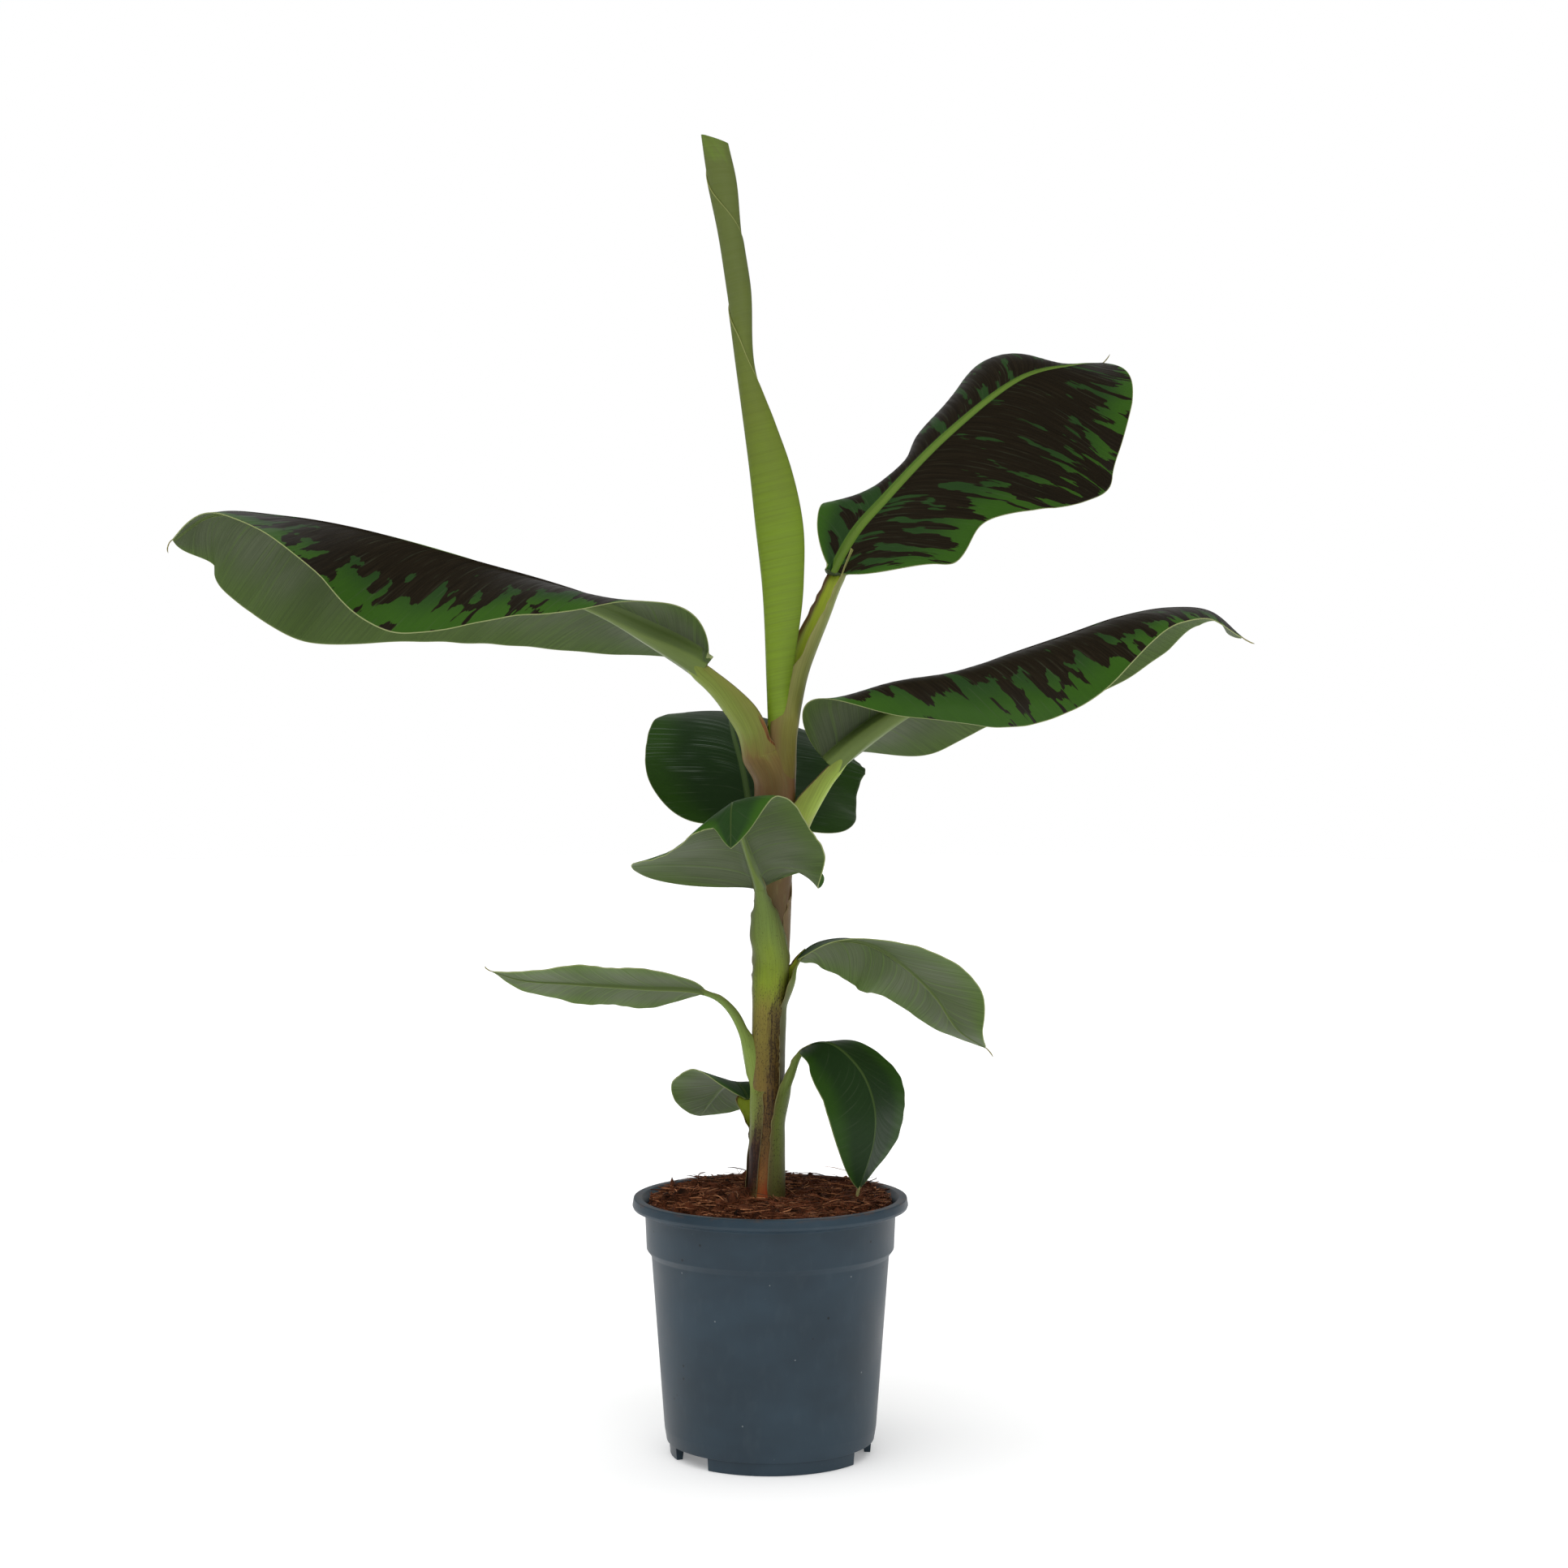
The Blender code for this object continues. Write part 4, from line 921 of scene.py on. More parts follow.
class SoilSettings(bpy.types.PropertyGroup):
    dark: tint("Dark compost", "Damp compost", (0.013, 0.0046, 0.0020))
    light: tint("Light compost", "Dry compost", (0.190, 0.058, 0.023))
    fibre: tint("Fibres", "Dry coconut fibre", (0.44, 0.185, 0.085))
    fibres: IntProperty(name="Fibres", description="Number of loose fibres", default=5600, min=0)
    crumbs: IntProperty(name="Crumbs", description="Number of crumbs", default=4200, min=0)


class SpearSettings(bpy.types.PropertyGroup):
    low: tint("Lower colour", "Yellow green of the opened part", (0.168, 0.262, 0.016))
    middle: tint("Middle colour", "Olive green of the middle", (0.140, 0.182, 0.024))
    high: tint("Upper colour", "Grey green of the rolled top", (0.120, 0.152, 0.037))
    pitch: length("Roll pitch", "Gap between turns of the roll", 0.0011)


class StageSettings(bpy.types.PropertyGroup):
    floor: tint("Floor", "Pale floor", (0.86, 0.86, 0.86))
    key: FloatProperty(name="Overhead light", description="Strength of the overhead light",
                       default=2.1, min=0.0)
    fill: FloatProperty(name="Fill light", description="Strength of the front fill", default=0.35,
                        min=0.0)
    lens: FloatProperty(name="Lens", description="Focal length", default=68.70, min=1.0,
                        subtype="DISTANCE_CAMERA")
    distance: length("Camera distance", "From the plant's axis to the camera", 2.7)
    camera_height: length("Camera height", "Height of the camera", 0.705)
    camera_side: length("Camera side", "Camera offset to the right", 0.0124)
    pitch: FloatProperty(name="Camera pitch", description="Angle below the level",
                         default=math.radians(2.09), subtype="ANGLE")


class PlantSettings(bpy.types.PropertyGroup):
    leaf: PointerProperty(type=LeafSettings)
    pot: PointerProperty(type=PotSettings)
    soil: PointerProperty(type=SoilSettings)
    spear: PointerProperty(type=SpearSettings)
    stage: PointerProperty(type=StageSettings)


# ---- operators ----------------------------------------------------------------------------
class PLANT_OT_pot(bpy.types.Operator):
    """Nursery pot with rolled lip, step, standing ring and drain holes"""
    bl_idname = "plant.pot"
    bl_label = "Pot"

    def profile(self, p):
        """Closed outline of the wall as radius and height, with rounded corners."""
        wall, step, top, foot = p.wall, p.step_height, p.rim_top, p.foot_height
        band, upper = p.top_radius + 0.0044, p.top_radius + 0.0058
        corners = [
            (0.0, 0.0, 0), (0.030, 0.0, 0.0004), (0.0325, foot - 0.0005, 0.001),
            (0.0840, foot - 0.0005, 0.001), (0.0854, 0.0, 0.0004), (0.0910, 0.0, 0.0006),
            (0.0920, foot - 0.0006, 0.0006), (0.0925, foot, 0.0002), (p.base_radius, foot, 0.0008),
            (0.0962, 0.0240, 0.004), (p.top_radius, step - 0.001, 0.003),
            (band, step + 0.0050, 0.0022), (upper, top - 0.0136, 0.0015),
            (p.rim_radius - 0.0060, top - 0.0102, 0.0012),
            (p.rim_radius - 0.0010, top - 0.0096, 0.0008),
            (p.rim_radius, top - 0.0070, 0.0012), (p.rim_radius - 0.0012, top, 0.0012),
            (p.rim_radius - 0.0085, top, 0.002), (upper - wall, top - 0.0065, 0.002),
            (band - wall, step + 0.0050, 0.002), (p.top_radius - wall, step - 0.003, 0.003),
            (0.0925, foot + 0.003, 0.003), (0.0, foot + 0.003, 0)]
        return rounded(corners)

    def execute(self, context):
        p = context.scene.plant.pot
        outline = self.profile(p)
        verts, faces = turned(outline, p.sides)
        pot = mesh_object("nursery_pot", verts, faces, [pot_plastic(p)])
        cutters = []
        for middle in FOOT_GAPS:
            a0, a1 = (math.radians(middle + s * FOOT_GAP_WIDTH / 2 - 90) for s in (-1, 1))
            ring = [(r * math.cos(a), r * math.sin(a)) for r, a in
                    ((0.079, a0), (0.100, a0), (0.100, a1), (0.079, a1))]
            cutters.append(prism("gap", ring, -0.01, p.foot_height - 0.0008))
        for k in range(HOLES):
            a = 2 * math.pi * (k + 0.3) / HOLES
            ring = [(HOLE_CIRCLE * math.cos(a) + HOLE_RADIUS * math.cos(b),
                     HOLE_CIRCLE * math.sin(a) + HOLE_RADIUS * math.sin(b))
                    for b in np.linspace(0, 2 * math.pi, 25)[:-1]]
            cutters.append(prism("hole", ring, 0.005, 0.020))
        carve(pot, cutters)
        sharp_edges(pot, 32)
        seat(pot, "pot_plastic", "pot")
        return {"FINISHED"}


class PLANT_OT_compost(bpy.types.Operator):
    """Compost surface, crumbs and loose coconut fibres"""
    bl_idname = "plant.compost"
    bl_label = "Compost"

    def execute(self, context):
        s = context.scene.plant.soil
        ground(s)
        crumbs(s)
        fibres(s)
        return {"FINISHED"}


class PLANT_OT_stem(bpy.types.Operator):
    """Inner core of the false stem, under the leaf sheaths"""
    bl_idname = "plant.stem"
    bl_label = "Stem core"

    def execute(self, context):
        z = np.linspace(STEM[0][0], STEM[-1][0], 120)
        middle, radius = stem_at(z)
        narrowing = 1 - 0.35 * ease(0.60, 0.65, z)
        radius = (radius - len(OUTER_FIRST) * LAYER) * narrowing
        a = np.linspace(0, 2 * math.pi, 49)[:-1]
        ring = np.stack([np.cos(a), np.sin(a), 0 * a], -1)
        verts = (middle[:, None] + radius[:, None, None] * ring[None]).reshape(-1, 3)
        n = len(a)
        i, k = np.meshgrid(np.arange(len(z) - 1) * n, np.arange(n), indexing="ij")
        nxt = (k + 1) % n
        walls = np.stack([i + k, i + nxt, i + nxt + n, i + k + n], -1).reshape(-1, 4).tolist()
        faces = walls + [list(range(n))[::-1], list(range(len(verts) - n, len(verts)))]
        maps = {"vein": np.stack([np.repeat(z, n), np.tile(a * 0.017, len(z))], 1),
                "edge": np.full((len(verts), 2), (0.01, 0.3))}
        look = {key: LEAVES["upper_left"][key] for key in ("skin", "edge", "leave")}
        core = mesh_object("stem_core", verts, faces, [stalk_skin("stem_core_skin", look)],
                           maps=maps)
        seat(core, "stem", "pseudostem")
        return {"FINISHED"}


class PLANT_OT_stalks(bpy.types.Operator):
    """Leaf stalks, each with its sheath wrapped round the stem"""
    bl_idname = "plant.stalks"
    bl_label = "Stalks"

    def execute(self, context):
        channel = channel_skin("stalk_channel")
        for name, leaf in LEAVES.items():
            stalk = build_stalk(name, leaf, [stalk_skin(name + "_stalk_skin", leaf), channel])
            seat(stalk, "petiole", name + "_petiole")
        return {"FINISHED"}


class PLANT_OT_leaves(bpy.types.Operator):
    """Open leaf blades with midrib, side veins and thin pale margins"""
    bl_idname = "plant.leaves"
    bl_label = "Leaves"

    def execute(self, context):
        look = context.scene.plant.leaf
        # The dark top's last value sets how strong its painted sheen streaks are.
        tops = {"dark": leaf_top("leaf_top_dark", look, None, 0.40, 0.5, 0.75),
                "green": leaf_top("leaf_top_green", look, None, 0.42),
                "deep": leaf_top("leaf_top_deep", look, None, 0.42, 0.62)}
        tops.update((name, leaf_top(name + "_top", look, leaf["cover"], 0.38,
                                    bare=leaf.get("bare", 0.0)))
                    for name, leaf in LEAVES.items() if "cover" in leaf)
        under = leaf_underside("leaf_underside", look, 0.8)
        young = leaf_underside("young_leaf_underside", look, 0.8, 1.45)
        rib_top = midrib("midrib_top", toned(look.rib_light), toned(look.rib_deep))
        rib_dim = midrib("midrib_dim", (0.050, 0.085, 0.022), (0.032, 0.062, 0.012))
        rib_under = midrib("midrib_under", (0.15, 0.21, 0.05), (0.095, 0.14, 0.035))
        for name, leaf in LEAVES.items():
            rib = rib_top if "cover" in leaf else rib_dim
            blade = build_blade(name + "_leaf", leaf, look,
                                [tops[leaf.get("top", name)], young if name in YOUNG else under,
                                 rib, rib_under])
            nodes = [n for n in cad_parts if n.startswith(name + "_blade")]
            seat(blade, "leaf", *nodes)
        seat(dry_tips(), "leaf")
        return {"FINISHED"}


class PLANT_OT_spear(bpy.types.Operator):
    """New leaf, rolled at the top and half opened below"""
    bl_idname = "plant.spear"
    bl_label = "Rolled leaf"

    def execute(self, context):
        roll = build_spear(context.scene.plant.spear)
        seat(roll, "rolled_leaf", "spear_leaf")
        return {"FINISHED"}


class PLANT_OT_stage(bpy.types.Operator):
    """Pale floor, soft studio light and the camera"""
    bl_idname = "plant.stage"
    bl_label = "Stage"

    def execute(self, context):
        s = context.scene.plant.stage
        a = np.linspace(0, 2 * math.pi, 97)[:-1]
        ring = np.stack([FLOOR_RADIUS * np.cos(a), FLOOR_RADIUS * np.sin(a),
                         np.full(len(a), -FLOOR_DROP)], 1)
        floor = mesh_object("floor", ring, [list(range(len(a)))], [floor_finish(s)], smooth=False)
        studio_lights(s)
        camera = bpy.data.objects.new("camera", bpy.data.cameras.new("camera"))
        camera.location = (s.camera_side, -s.distance, s.camera_height)
        camera.rotation_euler = (math.pi / 2 - s.pitch, 0.0, 0.0)
        camera.data.lens = s.lens
        camera.data.sensor_width = 36.0
        camera.data.clip_end = 60.0
        context.scene.collection.objects.link(camera)
        context.scene.camera = camera
        context.scene.view_settings.view_transform = "Standard"
        return {"FINISHED"}


# ---- pot ----------------------------------------------------------------------------------
def rounded(corners, steps=5):
    """Outline with each corner (x, y, radius) replaced by a small arc."""
    out = []
    for k, (x, y, r) in enumerate(corners):
        here = np.array([x, y])
        if r <= 0:
            out.append((x, y))
            continue
        a, b = np.array(corners[k - 1][:2]), np.array(corners[(k + 1) % len(corners)][:2])
        ua, ub = unit(a - here), unit(b - here)
        half = 0.5 * math.acos(np.clip(ua @ ub, -1, 1))
        cut = min(r / math.tan(half), 0.45 * np.linalg.norm(a - here),
                  0.45 * np.linalg.norm(b - here))
        p, q = here + ua * cut, here + ub * cut
        for f in np.linspace(0, 1, steps):
            out.append(tuple((1 - f) ** 2 * p + 2 * f * (1 - f) * here + f * f * q))
    return out


def turned(outline, sides):
    """Solid turned round +Z from a closed outline of radius and height."""
    verts, cols, faces = [], [], []
    a = 2 * math.pi * np.arange(sides) / sides
    for radius, height in outline:
        if radius < 1e-6:
            cols.append([len(verts)] * sides)
            verts.append((0.0, 0.0, height))
        else:
            cols.append(list(range(len(verts), len(verts) + sides)))
            verts += [(radius * x, radius * y, height) for x, y in zip(np.cos(a), np.sin(a))]
    for p in range(len(outline)):
        low, high = cols[p], cols[(p + 1) % len(outline)]
        for k in range(sides):
            n = (k + 1) % sides
            face = list(dict.fromkeys([low[k], low[n], high[n], high[k]]))
            if len(face) > 2:
                faces.append(face)
    return verts, faces


def prism(name, ring, low, high):
    """Upright solid over an outline, to cut with."""
    n = len(ring)
    verts = [(x, y, z) for z in (low, high) for x, y in ring]
    faces = [list(range(n))[::-1], list(range(n, 2 * n))]
    faces += [[k, (k + 1) % n, (k + 1) % n + n, k + n] for k in range(n)]
    return mesh_object(name, verts, faces, [], smooth=False)


def carve(target, cutters):
    """Takes the cutters away from the target and deletes them."""
    for cutter in cutters:
        mod = target.modifiers.new("cut", "BOOLEAN")
        mod.operation, mod.solver, mod.object = "DIFFERENCE", "EXACT", cutter
    bpy.context.view_layer.update()
    got = bpy.data.meshes.new_from_object(
        target.evaluated_get(bpy.context.evaluated_depsgraph_get()))
    target.modifiers.clear()
    target.data = got
    for cutter in cutters:
        bpy.data.objects.remove(cutter, do_unlink=True)


def sharp_edges(obj, degrees):
    """Shades smooth, apart from edges over an angle."""
    obj.data.shade_smooth()
    obj.data.set_sharp_from_angle(angle=math.radians(degrees))


def pot_plastic(p):
    """Moulded plastic: faint cloudiness, pale specks, hair scratches and a dusty lip."""
    f = Finish("pot_plastic", {"Specular IOR Level": 0.24})
    spot = f.place()
    height = f.put("SeparateXYZ", [spot]).outputs[2]
    cloud = f.noise(spot, (9, 9, 14), 3)
    skin = f.blend(f.between(cloud, 0.3, 0.7), toned(p.plastic, 0.82),
                   toned(p.plastic, 1.18))
    drag = f.noise(spot, (90, 90, 40), 3)
    skin = f.blend(f.between(drag, 0.5, 0.8, 0.0, 0.02), skin, toned(p.scuff))
    speck = f.put("TexVoronoi", {"Vector": spot, "Scale": 70.0, "Randomness": 1.0})
    rare = f.noise(spot, (30, 30, 30), 2, shift=(3, 1, 2))
    dots = f.times(f.between(speck.outputs[0], 0.04, 0.07, 1.0, 0.0), f.between(rare, 0.56, 0.62))
    skin = f.blend(f.times(dots, 0.45), skin, toned(p.scuff))
    pits = f.put("TexVoronoi", {"Vector": f.stretched(spot, (1, 1, 1), (7, 7, 7)), "Scale": 55.0})
    few = f.between(f.noise(spot, (24, 24, 24), 2, shift=(9, 3, 5)), 0.50, 0.56)
    skin = f.blend(f.times(f.between(pits.outputs[0], 0.05, 0.08, 0.8, 0.0), few), skin,
                   (0.008, 0.009, 0.01))
    dust = f.noise(spot, (70, 70, 200), 4, 0.65)
    lip = f.between(height, p.rim_top - 0.004, p.rim_top + 0.0005)
    skin = f.blend(f.times(lip, f.between(dust, 0.45, 0.7, 0.0, 0.6)), skin, (0.09, 0.05, 0.03))
    grain = f.noise(spot, (1500, 1500, 1500), 2)
    f.relief(f.add(grain, f.times(drag, 0.7)), 0.00012, 0.5)
    return f.wear(colour=skin, roughness=f.between(cloud, 0.3, 0.7, 0.36, 0.47))


# ---- compost ------------------------------------------------------------------------------
def soil_height(x, y):
    """Uneven compost level inside the pot."""
    r = np.hypot(x, y)
    base = through((0.0, 0.024, 0.035, 0.060, 0.085, 0.100, SOIL_RADIUS),
                   (0.2280, 0.2275, 0.2295, 0.2318, 0.2316, 0.2300, 0.2262), r)
    base = base + 0.0022 * (y / 0.11) * np.clip(r / 0.08, 0, 1)
    lumps = (np.sin(61 * x + 2.1 * np.sin(47 * y)) * np.sin(53 * y + 1.7 * np.sin(71 * x)) * 0.0034
             + np.sin(143 * x + 1.3) * np.sin(151 * y + 2.2 * np.sin(97 * x)) * 0.0028
             + np.sin(311 * x + 2 * np.sin(190 * y)) * np.sin(283 * y + 0.4) * 0.0013
             + np.sin(530 * x + 1.9 * np.sin(410 * y)) * np.sin(490 * y + 1.0) * 0.0006)
    return base + lumps * np.clip((SOIL_RADIUS - r) / 0.02, 0.25, 1)


def soil_finish(name, s, shade):
    """Crumbly matt brown, patchy from damp to dry."""
    f = Finish(name, {"Specular IOR Level": 0.2})
    spot = f.place()
    patch = f.noise(spot, (60, 60, 60), 4, 0.6)
    grain = f.noise(spot, (900, 900, 900), 3, 0.7)
    skin = f.blend(f.between(patch, 0.35, 0.7), toned(s.dark), toned(s.light))
    skin = f.blend(f.between(grain, 0.42, 0.58, 0.0, 0.75), skin, toned(shade))
    f.relief(f.add(grain, patch), 0.0012, 1.0)
    return f.wear(colour=skin, roughness=f.between(grain, 0.3, 0.7, 0.75, 0.95))


def fibre_finish(name, shade):
    """Dull fibre, slightly uneven in tone."""
    f = Finish(name, {"Specular IOR Level": 0.25})
    grain = f.noise(f.place(), (500, 500, 500), 2)
    skin = f.blend(f.between(grain, 0.3, 0.7), toned(shade, 0.7), toned(shade))
    return f.wear(colour=skin, roughness=f.between(grain, 0.3, 0.7, 0.6, 0.8))


def ground(s):
    """Compost body: uneven top, plain inside of the pot below."""
    rings, sides = 84, 260
    r = np.linspace(0.0, SOIL_RADIUS, rings)[1:]
    a = 2 * math.pi * np.arange(sides) / sides
    x, y = r[:, None] * np.cos(a), r[:, None] * np.sin(a)
    top = np.stack([x, y, soil_height(x, y)], -1).reshape(-1, 3)
    base = 0.016
    low = [(radius * c, radius * d, h)
           for radius, h in ((0.1086, 0.188), (0.1040, 0.178), (0.0915, base))
           for c, d in zip(np.cos(a), np.sin(a))]
    verts = np.concatenate([top, low, [(0, 0, soil_height(0.0, 0.0))], [(0, 0, base)]])
    faces = []
    k = np.arange(sides)
    n = (k + 1) % sides
    for i in range(rings - 2):
        o, p = i * sides, (i + 1) * sides
        faces += np.stack([o + k, p + k, p + n, o + n], 1).tolist()
    chain = [rings - 2, rings - 1, rings, rings + 1]
    for u, v in zip(chain[:-1], chain[1:]):
        faces += np.stack([u * sides + k, v * sides + k, v * sides + n, u * sides + n], 1).tolist()
    centre, floor = len(verts) - 2, len(verts) - 1
    faces += np.stack([np.full(sides, centre), k, n], 1).tolist()
    faces += np.stack([chain[-1] * sides + n, chain[-1] * sides + k, np.full(sides, floor)],
                      1).tolist()
    body = mesh_object("compost", verts, faces, [soil_finish("compost_damp", s, s.dark)])
    seat(body, "soil", "soil")


def scatter(rng, count, limit=0.107):
    """Random spots on the compost, clear of the stem."""
    spots = []
    while len(spots) < count:
        x, y = rng.uniform(-limit, limit, 2)
        if math.hypot(x, y) < limit and math.hypot(x - STEM[0][1], y) > STEM_CLEARANCE:
            spots.append((x, y))
    return np.array(spots)


def crumbs(s):
    """Small angular lumps joined into one piece, in three browns."""
    rng = np.random.default_rng(11)
    g = (1 + 5 ** 0.5) / 2
    ico = unit(np.array([(-1, g, 0), (1, g, 0), (-1, -g, 0), (1, -g, 0), (0, -1, g), (0, 1, g),
                         (0, -1, -g), (0, 1, -g), (g, 0, -1), (g, 0, 1), (-g, 0, -1), (-g, 0, 1)],
                        float))
    tri = np.array([(0, 11, 5), (0, 5, 1), (0, 1, 7), (0, 7, 10), (0, 10, 11), (1, 5, 9),
                    (5, 11, 4), (11, 10, 2), (10, 7, 6), (7, 1, 8), (3, 9, 4), (3, 4, 2),
                    (3, 2, 6), (3, 6, 8), (3, 8, 9), (4, 9, 5), (2, 4, 11), (6, 2, 10), (8, 6, 7),
                    (9, 8, 1)])
    spots = scatter(rng, s.crumbs)
    size = rng.gamma(1.5, 0.00105, s.crumbs)[:, None, None] + 0.0004
    form = ico[None] * rng.uniform(0.55, 1.25, (s.crumbs, 12, 1)) * rng.uniform(
        0.6, 1.4, (s.crumbs, 1, 3))
    z = soil_height(spots[:, 0], spots[:, 1])
    centre = np.column_stack([spots, z])[:, None]
    verts = (centre + form * size).reshape(-1, 3)
    faces = (tri[None] + 12 * np.arange(s.crumbs)[:, None, None]).reshape(-1, 3)
    slots = np.repeat(rng.integers(0, 3, s.crumbs), 20)
    shades = (s.dark, toned(s.light, 0.6), s.light)
    finishes = [soil_finish(f"crumb_{k}", s, shade) for k, shade in enumerate(shades)]
    piece = mesh_object("compost_crumbs", verts, faces, finishes, slots, smooth=False)
    seat(piece, "soil")


def fibres(s):
    """Loose curved coconut fibres lying in and on the compost, a few sticking up."""
    rng = np.random.default_rng(23)
    count, steps = s.fibres, 5
    spots = scatter(rng, count)
    length_of = rng.gamma(2.2, 0.0050, count) + 0.003
    turn = rng.uniform(0, 2 * math.pi, count)
    rise = np.where(rng.random(count) < 0.03, rng.uniform(0.2, 0.6, count),
                    rng.uniform(-0.10, 0.22, count))
    bend = rng.normal(0, 1.1, count)
    f = np.linspace(-0.5, 0.5, steps)
    heading = turn[:, None] + bend[:, None] * f
    step = length_of[:, None] / (steps - 1)
    dx, dy = np.cos(heading) * step, np.sin(heading) * step
    slope = rise[:, None] * (1 - 0.6 * (f + 0.5))
    x = spots[:, :1] + np.cumsum(dx * np.cos(slope), 1)
    y = spots[:, 1:] + np.cumsum(dy * np.cos(slope), 1)
    out = np.hypot(x, y)
    pull = np.minimum(1.0, 0.1095 / out)
    x, y = x * pull, y * pull
    ground_z = soil_height(x, y)
    z = ground_z[:, :1] + np.cumsum(step * np.sin(slope), 1)
    z = np.maximum(z, ground_z - 0.0004) + rng.uniform(0.0, 0.0022, (count, 1))
    paths = np.stack([x, y, z], -1)
    radius = 0.00018 + 0.00060 * rng.random(count) ** 2
    verts, faces = tubes(paths, radius)
    kinds = rng.choice(4, count, p=(0.36, 0.34, 0.20, 0.10))
    per = 3 * (steps - 1)
    slots = np.concatenate([np.repeat(kinds, per), kinds, kinds])
    shades = (toned(s.light, 0.5), s.light, toned(s.fibre, 0.75),
              toned(s.fibre, 1.5))
    finishes = [fibre_finish(f"fibre_{k}", shade) for k, shade in enumerate(shades)]
    piece = mesh_object("coconut_fibres", verts, faces, finishes, slots)
    seat(piece, "soil")


# ---- rolled leaf --------------------------------------------------------------------------
SPEAR = (                     # height, centre x, half width, half depth
    (0.6504, 0.0080, 0.0100, 0.0100), (0.691, 0.0078, 0.0113, 0.0105),
    (0.787, 0.0110, 0.0188, 0.0110), (0.838, 0.0080, 0.0215, 0.0115),
    (0.889, 0.0000, 0.0190, 0.0115), (0.932, -0.0103, 0.0142, 0.0110),
    (0.970, -0.0200, 0.0095, 0.0100), (1.055, -0.0290, 0.0113, 0.0100),
    (1.099, -0.0358, 0.0110, 0.0100), (1.157, -0.0447, 0.0137, 0.0090),
    (1.186, -0.0500, 0.0124, 0.0085))
SPEAR_EDGE = (                # height, angle of the outer margin round the roll, degrees
    (0.65, 40), (0.70, 20), (0.75, 5), (0.80, 0), (0.93, 0), (0.963, -15), (0.985, -65),
    (1.010, -115), (1.031, -180), (1.062, -290), (1.091, -360), (1.118, -440), (1.148, -540),
    (1.19, -640))


def build_spear(s):
    """Scroll of one thin sheet: its outer margin winds down round the roll, then stands open."""
    table, edge = np.asarray(SPEAR), np.asarray(SPEAR_EDGE, float)
    rows, columns = 260, 96
    crown = table[-1, 0]
    z = np.linspace(table[0, 0], crown, rows)
    x0, wide, deep = (through(table[:, 0], table[:, k], z) for k in (1, 2, 3))
    first = np.radians(through(edge[:, 0], edge[:, 1], z))
    turns = math.radians(600)
    f = np.linspace(0, 1, columns)
    angle = column(first) - turns * f[None]
    inset = s.pitch * turns * f[None] / (2 * math.pi)
    rx, ry = column(wide) - inset, column(deep) - inset
    rx, ry = np.maximum(rx, 0.0012), np.maximum(ry, 0.0012)
    opened = (1 - ease(0.955, 0.99, z)) * ease(0.66, 0.72, z)
    lift_off = column(opened) * np.clip(1 - f / 0.12, 0, 1) ** 2
    px = column(x0) + rx * np.cos(angle)
    py = ry * np.sin(angle) - 0.0035 * lift_off
    top = 1.1845 + 0.0040 * np.clip(-np.cos(angle), -1, 1)
    climb = ease(1.10, crown, column(z) + 0 * angle)
    pz = column(z) + climb * (top - crown)
    pts = np.stack([px, py, pz], -1)
    along = np.gradient(pts, axis=0)
    around = np.gradient(pts, axis=1)
    normal = unit(np.cross(along, around))
    facing = np.sign((normal * np.stack([np.cos(angle) / rx, np.sin(angle) / ry, 0 * angle], -1)
                      ).sum(-1, keepdims=True))
    facing[facing == 0] = 1
    normal = normal * facing
    thick = 0.0004
    outer, inner = pts + normal * thick, pts - normal * thick
    # The grid runs up and clockwise, so the outside is its lower skin.
    top_faces, under, rims = skin_faces(rows, columns)
    verts = np.concatenate([inner.reshape(-1, 3), outer.reshape(-1, 3)])
    faces = np.concatenate([top_faces, under, rims])
    steps = np.linalg.norm(np.diff(pts, axis=1), axis=2)
    run = np.concatenate([np.zeros((rows, 1)), np.cumsum(steps, 1)], 1)
    vein = column(z) + 0.22 * run
    pair = np.stack([vein.ravel(), run.ravel()], 1)
    far = np.stack([run.ravel(), np.tile(f, rows)], 1)
    return mesh_object("rolled_leaf", verts, faces, [spear_skin(s)], None,
                       {"vein": np.concatenate([pair, pair]), "edge": np.concatenate([far, far])})


def spear_skin(s):
    """Skin of the rolled leaf: yellow green below, grey green above."""
    f = Finish("rolled_leaf_skin", {"Specular IOR Level": 0.3})
    vein, out = f.uv("vein")[:2]
    edge = f.uv("edge")[0]
    where = f.vector(vein, out)
    height = f.height()
    cloud = f.noise(where, (26, 40, 1), 3)
    shifted = f.add(height, f.sway(cloud, 0.10))
    share = f.over(f.add(shifted, -0.68), 0.51)
    skin = f.ramp(share, [(0.0, toned(s.low, 1.08)), (0.30, toned(s.low)),
                          (0.52, toned(s.middle)), (0.72, toned(s.high)),
                          (0.97, toned(s.high)), (1.0, (0.14, 0.22, 0.03))])
    fine = f.noise(where, (700, 12, 1), 2)
    skin = f.blend(f.between(fine, 0.35, 0.75, 0.0, 0.3), skin, toned(s.middle, 0.72))
    band = lines(f, vein, 0.0085, 2)
    skin = f.blend(f.times(band, 0.07), skin, toned(s.middle, 0.6))
    rim = f.between(edge, 0.0003, 0.0010, 0.8, 0.0)
    f.relief(f.add(band, f.times(fine, 0.5)), 0.00025, 0.7)
    return f.wear(colour=f.blend(rim, skin, (0.34, 0.36, 0.12)),
                  roughness=f.between(cloud, 0.3, 0.7, 0.42, 0.54))


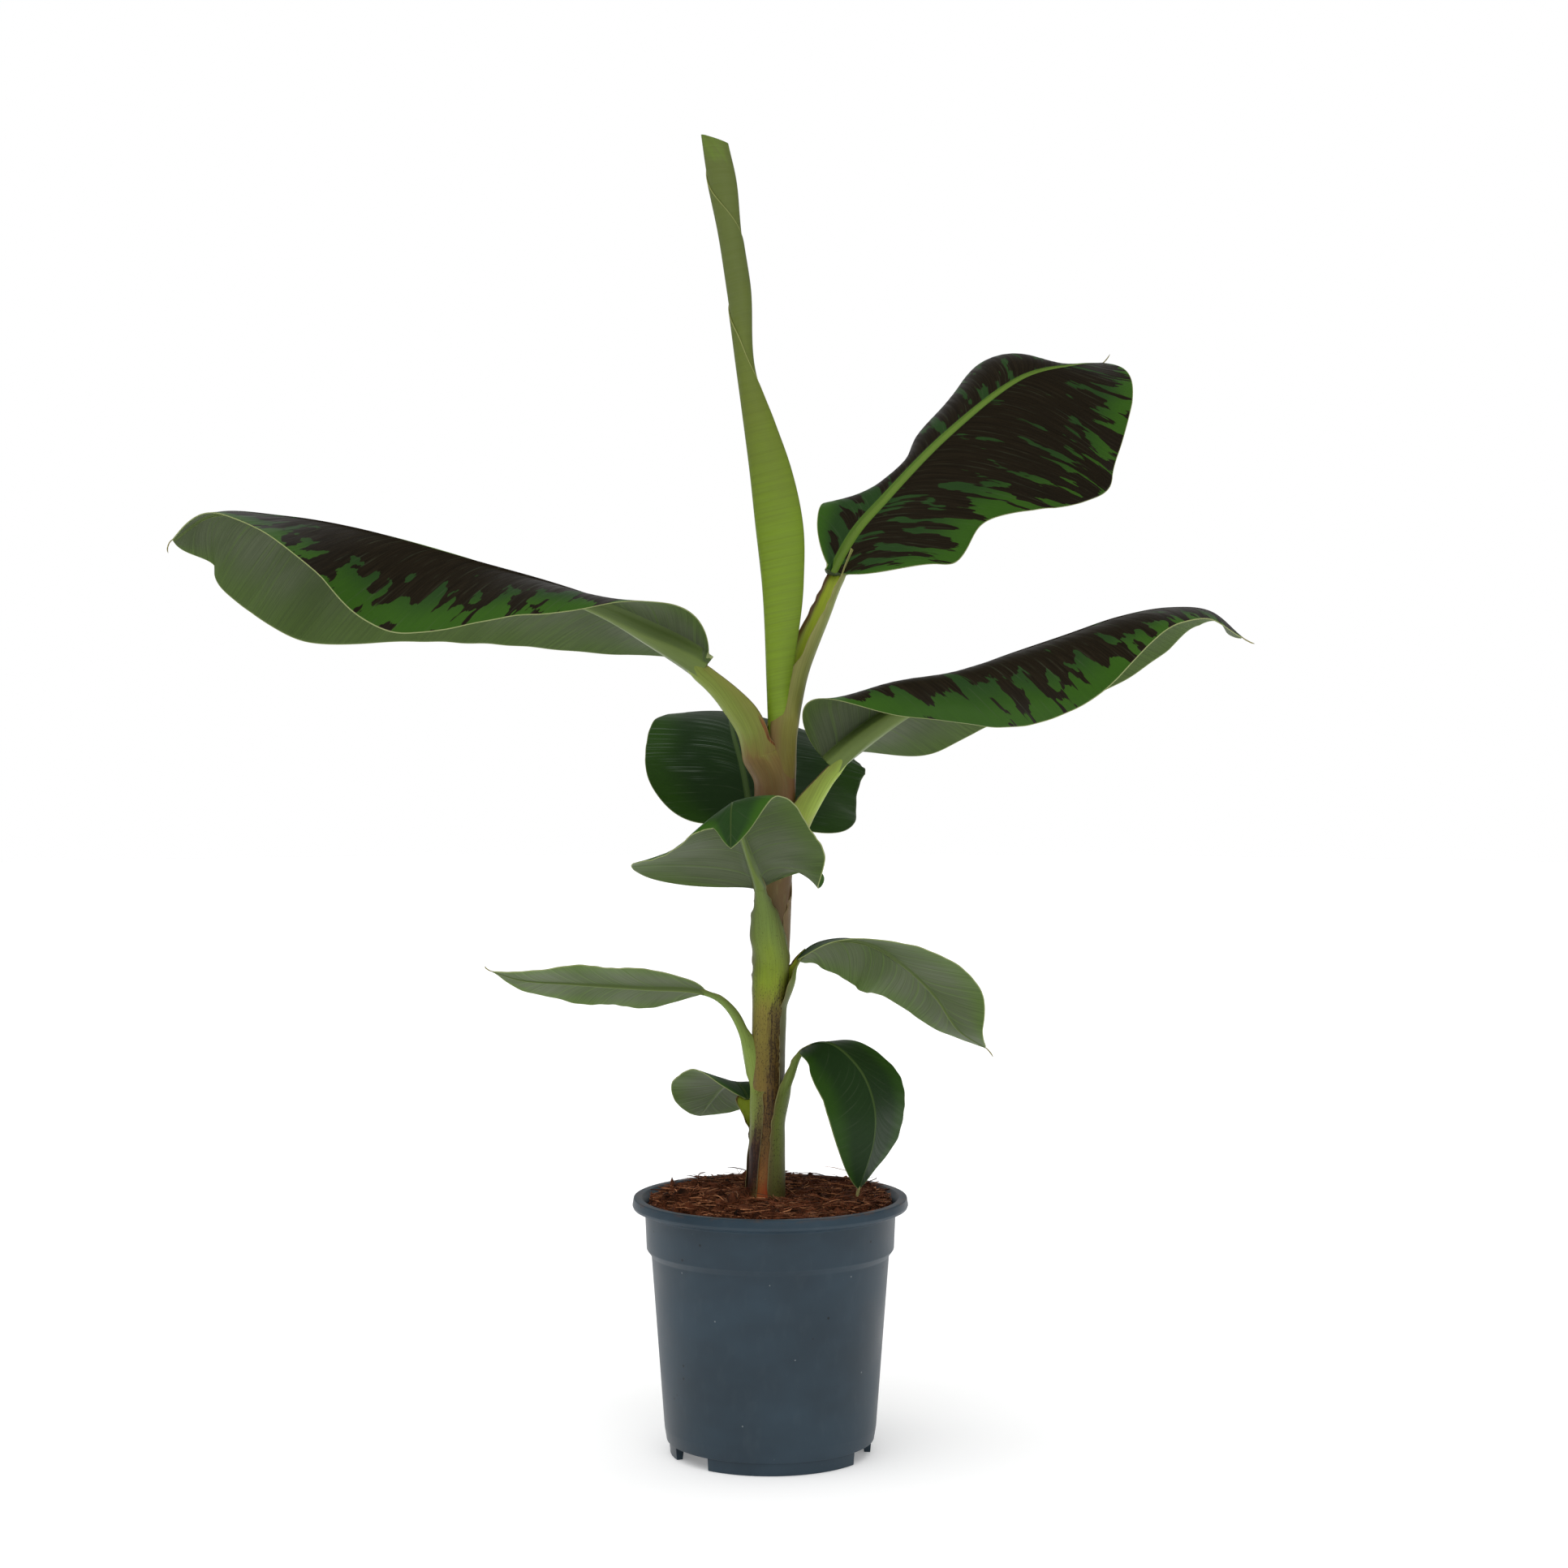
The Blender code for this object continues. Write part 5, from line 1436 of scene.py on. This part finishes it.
# ---- stage --------------------------------------------------------------------------------
def floor_finish(s):
    """Pale matt floor, faintly uneven."""
    f = Finish("floor_pale", {"Specular IOR Level": 0.1, "Emission Color": (1, 1, 1, 1),
                              "Emission Strength": 0.24})
    mist = f.noise(f.place(), (2, 2, 2), 2)
    return f.wear(colour=f.blend(mist, toned(s.floor, 0.99), toned(s.floor)),
                  roughness=f.between(mist, 0.3, 0.7, 0.85, 0.9))


def studio_lights(s):
    """Wide overhead light, soft front fill and a sky that is bright behind and dim in front."""
    for label, strength, angle, tilt, turn in (("overhead", s.key, 75, 22, -25),
                                               ("fill", s.fill, 60, 70, 20)):
        lamp = bpy.data.lights.new(label, "SUN")
        lamp.energy = strength
        lamp.angle = math.radians(angle)
        obj = bpy.data.objects.new(label, lamp)
        obj.rotation_euler = (math.radians(tilt), 0.0, math.radians(turn))
        obj.visible_glossy = label == "fill"
        bpy.context.scene.collection.objects.link(obj)
    world = bpy.data.worlds.new("studio")
    world.use_nodes = True
    tree = world.node_tree
    back = tree.nodes["Background"]
    spot = tree.nodes.new("ShaderNodeTexCoord")
    split = tree.nodes.new("ShaderNodeSeparateXYZ")
    tree.links.new(spot.outputs["Generated"], split.inputs[0])

    def graded(*limits):
        node = tree.nodes.new("ShaderNodeMapRange")
        node.interpolation_type = "SMOOTHSTEP"
        tree.links.new(split.outputs[1], node.inputs[0])
        for index, value in enumerate(limits, 1):
            node.inputs[index].default_value = value
        return node.outputs[0]

    def pick(ray, other, chosen):
        mix = tree.nodes.new("ShaderNodeMix")
        tree.links.new(rays.outputs[ray], mix.inputs[0])
        for index, value in ((2, other), (3, chosen)):
            if isinstance(value, float):
                mix.inputs[index].default_value = value
            else:
                tree.links.new(value, mix.inputs[index])
        return mix.outputs[0]

    rays = tree.nodes.new("ShaderNodeLightPath")
    soft = pick("Is Glossy Ray", graded(-0.6, 0.9, 0.22, 0.95), graded(0.55, 1.0, 0.08, 0.55))
    back.inputs[0].default_value = (1.0, 1.0, 1.0, 1.0)
    tree.links.new(pick("Is Camera Ray", soft, 1.0), back.inputs[1])
    bpy.context.scene.world = world


# ---- panel, registration and run ----------------------------------------------------------
PIECES = (PLANT_OT_pot, PLANT_OT_compost, PLANT_OT_stem, PLANT_OT_stalks, PLANT_OT_leaves,
          PLANT_OT_spear, PLANT_OT_stage)


class PLANT_PT_panel(bpy.types.Panel):
    """Lists the operators that build the plant"""
    bl_label = "Potted banana plant"
    bl_idname = "PLANT_PT_panel"
    bl_space_type = "VIEW_3D"
    bl_region_type = "UI"
    bl_category = "Banana plant"

    def draw(self, context):
        for piece in PIECES:
            self.layout.operator(piece.bl_idname, text=piece.bl_label)
        for label in PlantSettings.__annotations__:
            box = self.layout.box()
            box.label(text=label.title())
            group = getattr(context.scene.plant, label)
            for prop in group.__annotations__:
                box.prop(group, prop)


CLASSES = (LeafSettings, PotSettings, SoilSettings, SpearSettings, StageSettings, PlantSettings,
           *PIECES, PLANT_PT_panel)


def register():
    for item in CLASSES:
        bpy.utils.register_class(item)
    bpy.types.Scene.plant = PointerProperty(type=PlantSettings)


def unregister():
    del bpy.types.Scene.plant
    for item in reversed(CLASSES):
        bpy.utils.unregister_class(item)


def main():
    """Builds everything in order."""
    register()
    for piece in PIECES:
        group, action = piece.bl_idname.split(".")
        getattr(getattr(bpy.ops, group), action)()


if __name__ == "__main__":
    main()
